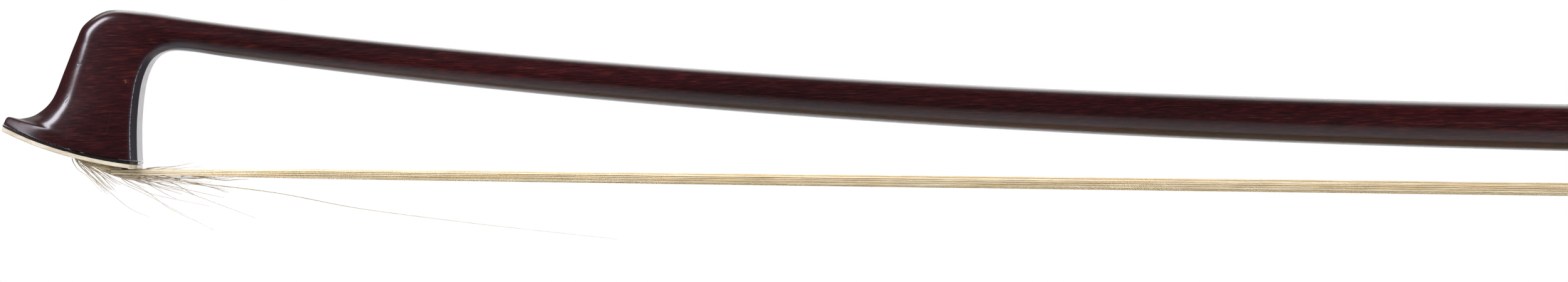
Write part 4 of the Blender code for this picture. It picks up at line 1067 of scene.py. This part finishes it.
def make_leather():
    """The thumb leather, finely wrinkled and skived thin at its front edge."""
    low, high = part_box("thumb_leather")
    start, end = low.x + ORIGIN_ALONG, high.x + ORIGIN_ALONG

    def skin(along, grow):
        return round_the_axis(along, lambda angle: stick_radius(along, angle) + CLEARANCE + grow)

    rings = []
    for i in range(LEATHER_RINGS + 1):
        along = mix(start, end, i / LEATHER_RINGS)
        skive = smooth_step((along - start) / LEATHER_SKIVE)
        tail = smooth_step((end - along) / LEATHER_EASE)
        wall = LEATHER_WALL * mix(0.3, 1.0, skive) * mix(0.7, 1.0, tail)
        wrinkle = 0.03 * MM * math.sin(along * 5200) * math.sin(along * 1900)
        rings.append(skin(along, wall - 0.05 * MM + wrinkle))
    for i in range(13):
        rings.append(skin(mix(end, start, i / 12), 0.0))
    piece = loft("thumb_leather_fine", rings, closed=True)
    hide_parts("thumb_leather")
    dress(piece, leather(), STICK)


def make_lapping(name, node, shift, material):
    """One unbroken strip wound along the handle, with its edges eased."""
    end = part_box("thumb_leather")[0].x + ORIGIN_ALONG - CLEARANCE
    start = end - STRIP_WIDTH / 2 - LAPPING_PITCH * (LAPPING_TURNS + 0.5) + shift
    half, shoulder = STRIP_WIDTH / 2, STRIP_THICKNESS - STRIP_CROWN
    side = STRIP_THICKNESS - STRIP_EASE
    section = (
        (-half, 0.0), (half, 0.0), (half, side), (half - STRIP_EASE, shoulder),
        (0.0, STRIP_THICKNESS), (STRIP_EASE - half, shoulder), (-half, side),
    )
    rings = []
    for j in range(LAPPING_TURNS * LAPPING_STEPS + 1):
        along = start + LAPPING_PITCH * j / LAPPING_STEPS
        angle = 2 * math.pi * j / LAPPING_STEPS
        out = Vector((0, math.sin(angle), -math.cos(angle)))
        base = Vector((x_at(along), 0, axis_height(along)))
        radius = stick_radius(along, angle) + CLEARANCE
        rings.append([base + Vector((x, 0, 0)) + out * (radius + rise) for x, rise in section])
    piece = loft(name, rings, angle=40.0)
    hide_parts(node)
    dress(piece, material, STICK)


# Frog, screw and button


def ease_edges(node, name, width, material, body, segments=3):
    """A copy of a CAD piece with its edges eased, which stands for it."""
    piece = add_object(name, cad(node).data.copy())
    work = bmesh.new()
    work.from_mesh(piece.data)
    bmesh.ops.remove_doubles(work, verts=work.verts, dist=0.002 * MM)
    parts = {"verts": work.verts, "edges": work.edges, "delimit": {"NORMAL"}}
    bmesh.ops.dissolve_limit(work, angle_limit=math.radians(FACET_ANGLE), **parts)
    work.to_mesh(piece.data)
    work.free()
    piece.data.shade_smooth()
    if piece.data.attributes.get("sharp_edge"):
        piece.data.attributes.remove(piece.data.attributes["sharp_edge"])
    bevel = piece.modifiers.new("eased_edges", "BEVEL")
    bevel.width = width
    bevel.segments = segments
    bevel.limit_method = "ANGLE"
    bevel.angle_limit = math.radians(EASED_ANGLE)
    even = piece.modifiers.new("even_shading", "WEIGHTED_NORMAL")
    even.mode = "FACE_AREA"
    even.weight = SHADING_WEIGHT
    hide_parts(node)
    dress(piece, material, body)


def dress_nodes(material, *nodes):
    """CAD pieces that show as they are, in a fine material."""
    for node in nodes:
        dress(cad(node), material)


def make_fittings():
    black, bright, nacre = ebony(), silver(), pearl()
    wood_plug, knot = maple(), knot_binding()
    steel = metal(
        "steel_screw", (0.36, 0.36, 0.37), (0.58, 0.58, 0.60), (0.25, 0.4), SCREW_PITCH
    )
    brass = metal("brass_eyelet", (0.52, 0.34, 0.12), (0.75, 0.54, 0.24), (0.22, 0.38))
    ease_edges("frog", "frog_eased", 0.22 * MM, black, FROG)
    ease_edges("ferrule", "ferrule_eased", 0.12 * MM, bright, FROG)
    for node in ("heel_plate_under", "heel_plate_back"):
        ease_edges(node, node + "_eased", 0.10 * MM, bright, FROG, 2)
    ease_edges("button_core", "button_core_eased", 0.12 * MM, black, SCREW)
    for node in ("button_collar_front", "button_collar_rear"):
        ease_edges(node, node + "_eased", 0.10 * MM, bright, SCREW, 2)
    heel_pins = [f"heel_pin_{i}" for i in range(1, 5)]
    dress_nodes(black, "slide_backing")
    dress_nodes(bright, "underslide", "eye_ring_near", "eye_ring_far", *heel_pins)
    dress_nodes(nacre, "pearl_slide", "eye_pearl_near", "eye_pearl_far", "button_eye")
    dress_nodes(wood_plug, "tip_plug", "spread_wedge", "frog_plug")
    dress_nodes(knot, "tip_knot", "frog_knot")
    dress_nodes(brass, "eyelet")
    dress_nodes(steel, "screw")


# Stage, light and camera


def paint(piece, shade, glow=0.0):
    """Matt paint for the stage. glow keeps a surface pale where no lamp reaches it."""
    look = bpy.data.materials.new(piece.name + "_paint")
    look.use_nodes = True
    shader = look.node_tree.nodes["Principled BSDF"]
    shader.inputs["Base Color"].default_value = (shade, shade, shade, 1)
    shader.inputs["Roughness"].default_value = 0.9
    shader.inputs["Emission Color"].default_value = (1, 1, 1, 1)
    shader.inputs["Emission Strength"].default_value = glow
    piece.data.materials.append(look)


def make_stage():
    """A pale floor that only the camera sees, and a white sweep that the camera doesn't see.

    The sweep stands behind and under the bow, where the gloss mirrors it.
    """
    bend_y = WALL_Y - SWEEP_BEND
    profile = [(SWEEP_FRONT_Y, FLOOR_Z), (bend_y, FLOOR_Z)]
    for i in range(1, SWEEP_STEPS + 1):
        angle = math.radians(90 * i / SWEEP_STEPS)
        y = bend_y + SWEEP_BEND * math.sin(angle)
        profile.append((y, FLOOR_Z + SWEEP_BEND * (1 - math.cos(angle))))
    profile.append((WALL_Y, WALL_TOP))
    work = bmesh.new()
    rows = [[work.verts.new((x, y, z)) for y, z in profile] for x in SWEEP_X]
    for i in range(len(profile) - 1):
        work.faces.new((rows[0][i], rows[1][i], rows[1][i + 1], rows[0][i + 1]))
    sweep = add_object("reflector_sweep", mesh_from("reflector_sweep", work, 60.0))
    sweep.visible_camera = False
    paint(sweep, 0.93)
    work = bmesh.new()
    place = Matrix.Translation((0, 0, FLOOR_Z - 0.01))
    bmesh.ops.create_circle(work, cap_ends=True, segments=96, radius=FLOOR_RADIUS, matrix=place)
    floor = add_object("pale_floor", mesh_from("pale_floor", work))
    floor.visible_diffuse = floor.visible_glossy = False
    floor.visible_transmission = floor.visible_shadow = False
    paint(floor, 0.0, 0.88)


def add_light(name, place, target, size, power, color=(1, 1, 1), long_side=(1, 0, 0)):
    """A softbox at place that faces target. long_side is the way that its first size runs."""
    data = bpy.data.lights.new(name, "AREA")
    data.shape = "RECTANGLE"
    data.size, data.size_y = size
    data.energy = power
    data.color = color
    light = add_object(name, data)
    light.visible_camera = False
    back = (Vector(place) - Vector(target)).normalized()
    right = Vector(long_side)
    right = (right - back * right.dot(back)).normalized()
    turn = Matrix((right, back.cross(right), back)).transposed().to_4x4()
    light.matrix_world = Matrix.Translation(place) @ turn


def make_light():
    middle = (-0.54, 0, 0)
    head = Vector((-0.655, 0, 0.015))
    upper_left = head + Vector((-0.68, -0.43, 0.66))
    right = head + Vector((2.2, -1.7, 0.3))
    add_light("top_softbox", (-0.54, 0.60, 0.80), middle, (1.5, 0.55), 5.0)
    add_light(
        "head_softbox", upper_left, head, (0.72, 0.42), 20.0, (0.91, 0.90, 1.0), (0.7, 0, 0.7)
    )
    add_light("right_softbox", right, head, (1.4, 1.0), 46.0)
    add_light("wall_wash", (-0.6, 0.62, 0.90), (-0.6, 1.3, 0.50), (1.6, 0.4), 18.0)
    add_light("floor_wash", (-0.54, 0.30, -0.28), (-0.54, 0.34, -0.80), (1.8, 0.3), 7.0)
    bpy.context.scene.view_settings.view_transform = "Standard"


def make_world():
    """A white background on every side, in a dim room, so that the gloss stays dark in front."""
    world = bpy.data.worlds.new("soft_room")
    world.use_nodes = True
    tree = world.node_tree
    room, seen = tree.nodes["Background"], tree.nodes.new("ShaderNodeBackground")
    for background, strength in ((room, 0.04), (seen, 1.0)):
        background.inputs["Color"].default_value = (1, 1, 1, 1)
        background.inputs["Strength"].default_value = strength
    choice = tree.nodes.new("ShaderNodeMixShader")
    is_seen = tree.nodes.new("ShaderNodeLightPath").outputs["Is Camera Ray"]
    tree.links.new(is_seen, choice.inputs[0])
    tree.links.new(room.outputs[0], choice.inputs[1])
    tree.links.new(seen.outputs[0], choice.inputs[2])
    tree.links.new(choice.outputs[0], tree.nodes["World Output"].inputs["Surface"])
    bpy.context.scene.world = world


def make_camera():
    """Straight across the bow, rolled so that the picture lies as the photograph does."""
    roll = math.radians(CAMERA_ROLL)
    right = Vector((math.cos(roll), 0, -math.sin(roll)))
    up = Vector((math.sin(roll), 0, math.cos(roll)))
    back = right.cross(up)
    data = bpy.data.cameras.new("photo_camera")
    data.sensor_width = 36.0
    data.lens = CAMERA_LENS
    data.clip_start, data.clip_end = 0.01, 100.0
    camera = add_object("photo_camera", data)
    turn = Matrix((right, up, back)).transposed().to_4x4()
    camera.matrix_world = Matrix.Translation(CAMERA_PLACE) @ turn
    bpy.context.scene.camera = camera


def main():
    make_camera()
    mortise = head_mortise()
    make_stick(mortise)
    make_head_trim(mortise)
    bpy.data.objects.remove(mortise)
    make_hair()
    make_broken_hairs()
    make_leather()
    dark = baleen("lapping_dark_strip", (0.012, 0.008, 0.007), (0.055, 0.034, 0.026))
    light = baleen("lapping_light_strip", (0.42, 0.30, 0.15), (0.74, 0.60, 0.38))
    make_lapping("lapping_dark_fine", "lapping_dark", 0.0, dark)
    make_lapping("lapping_light_fine", "lapping_light", LAPPING_PITCH / 2, light)
    make_fittings()
    make_stage()
    make_light()
    make_world()


main()
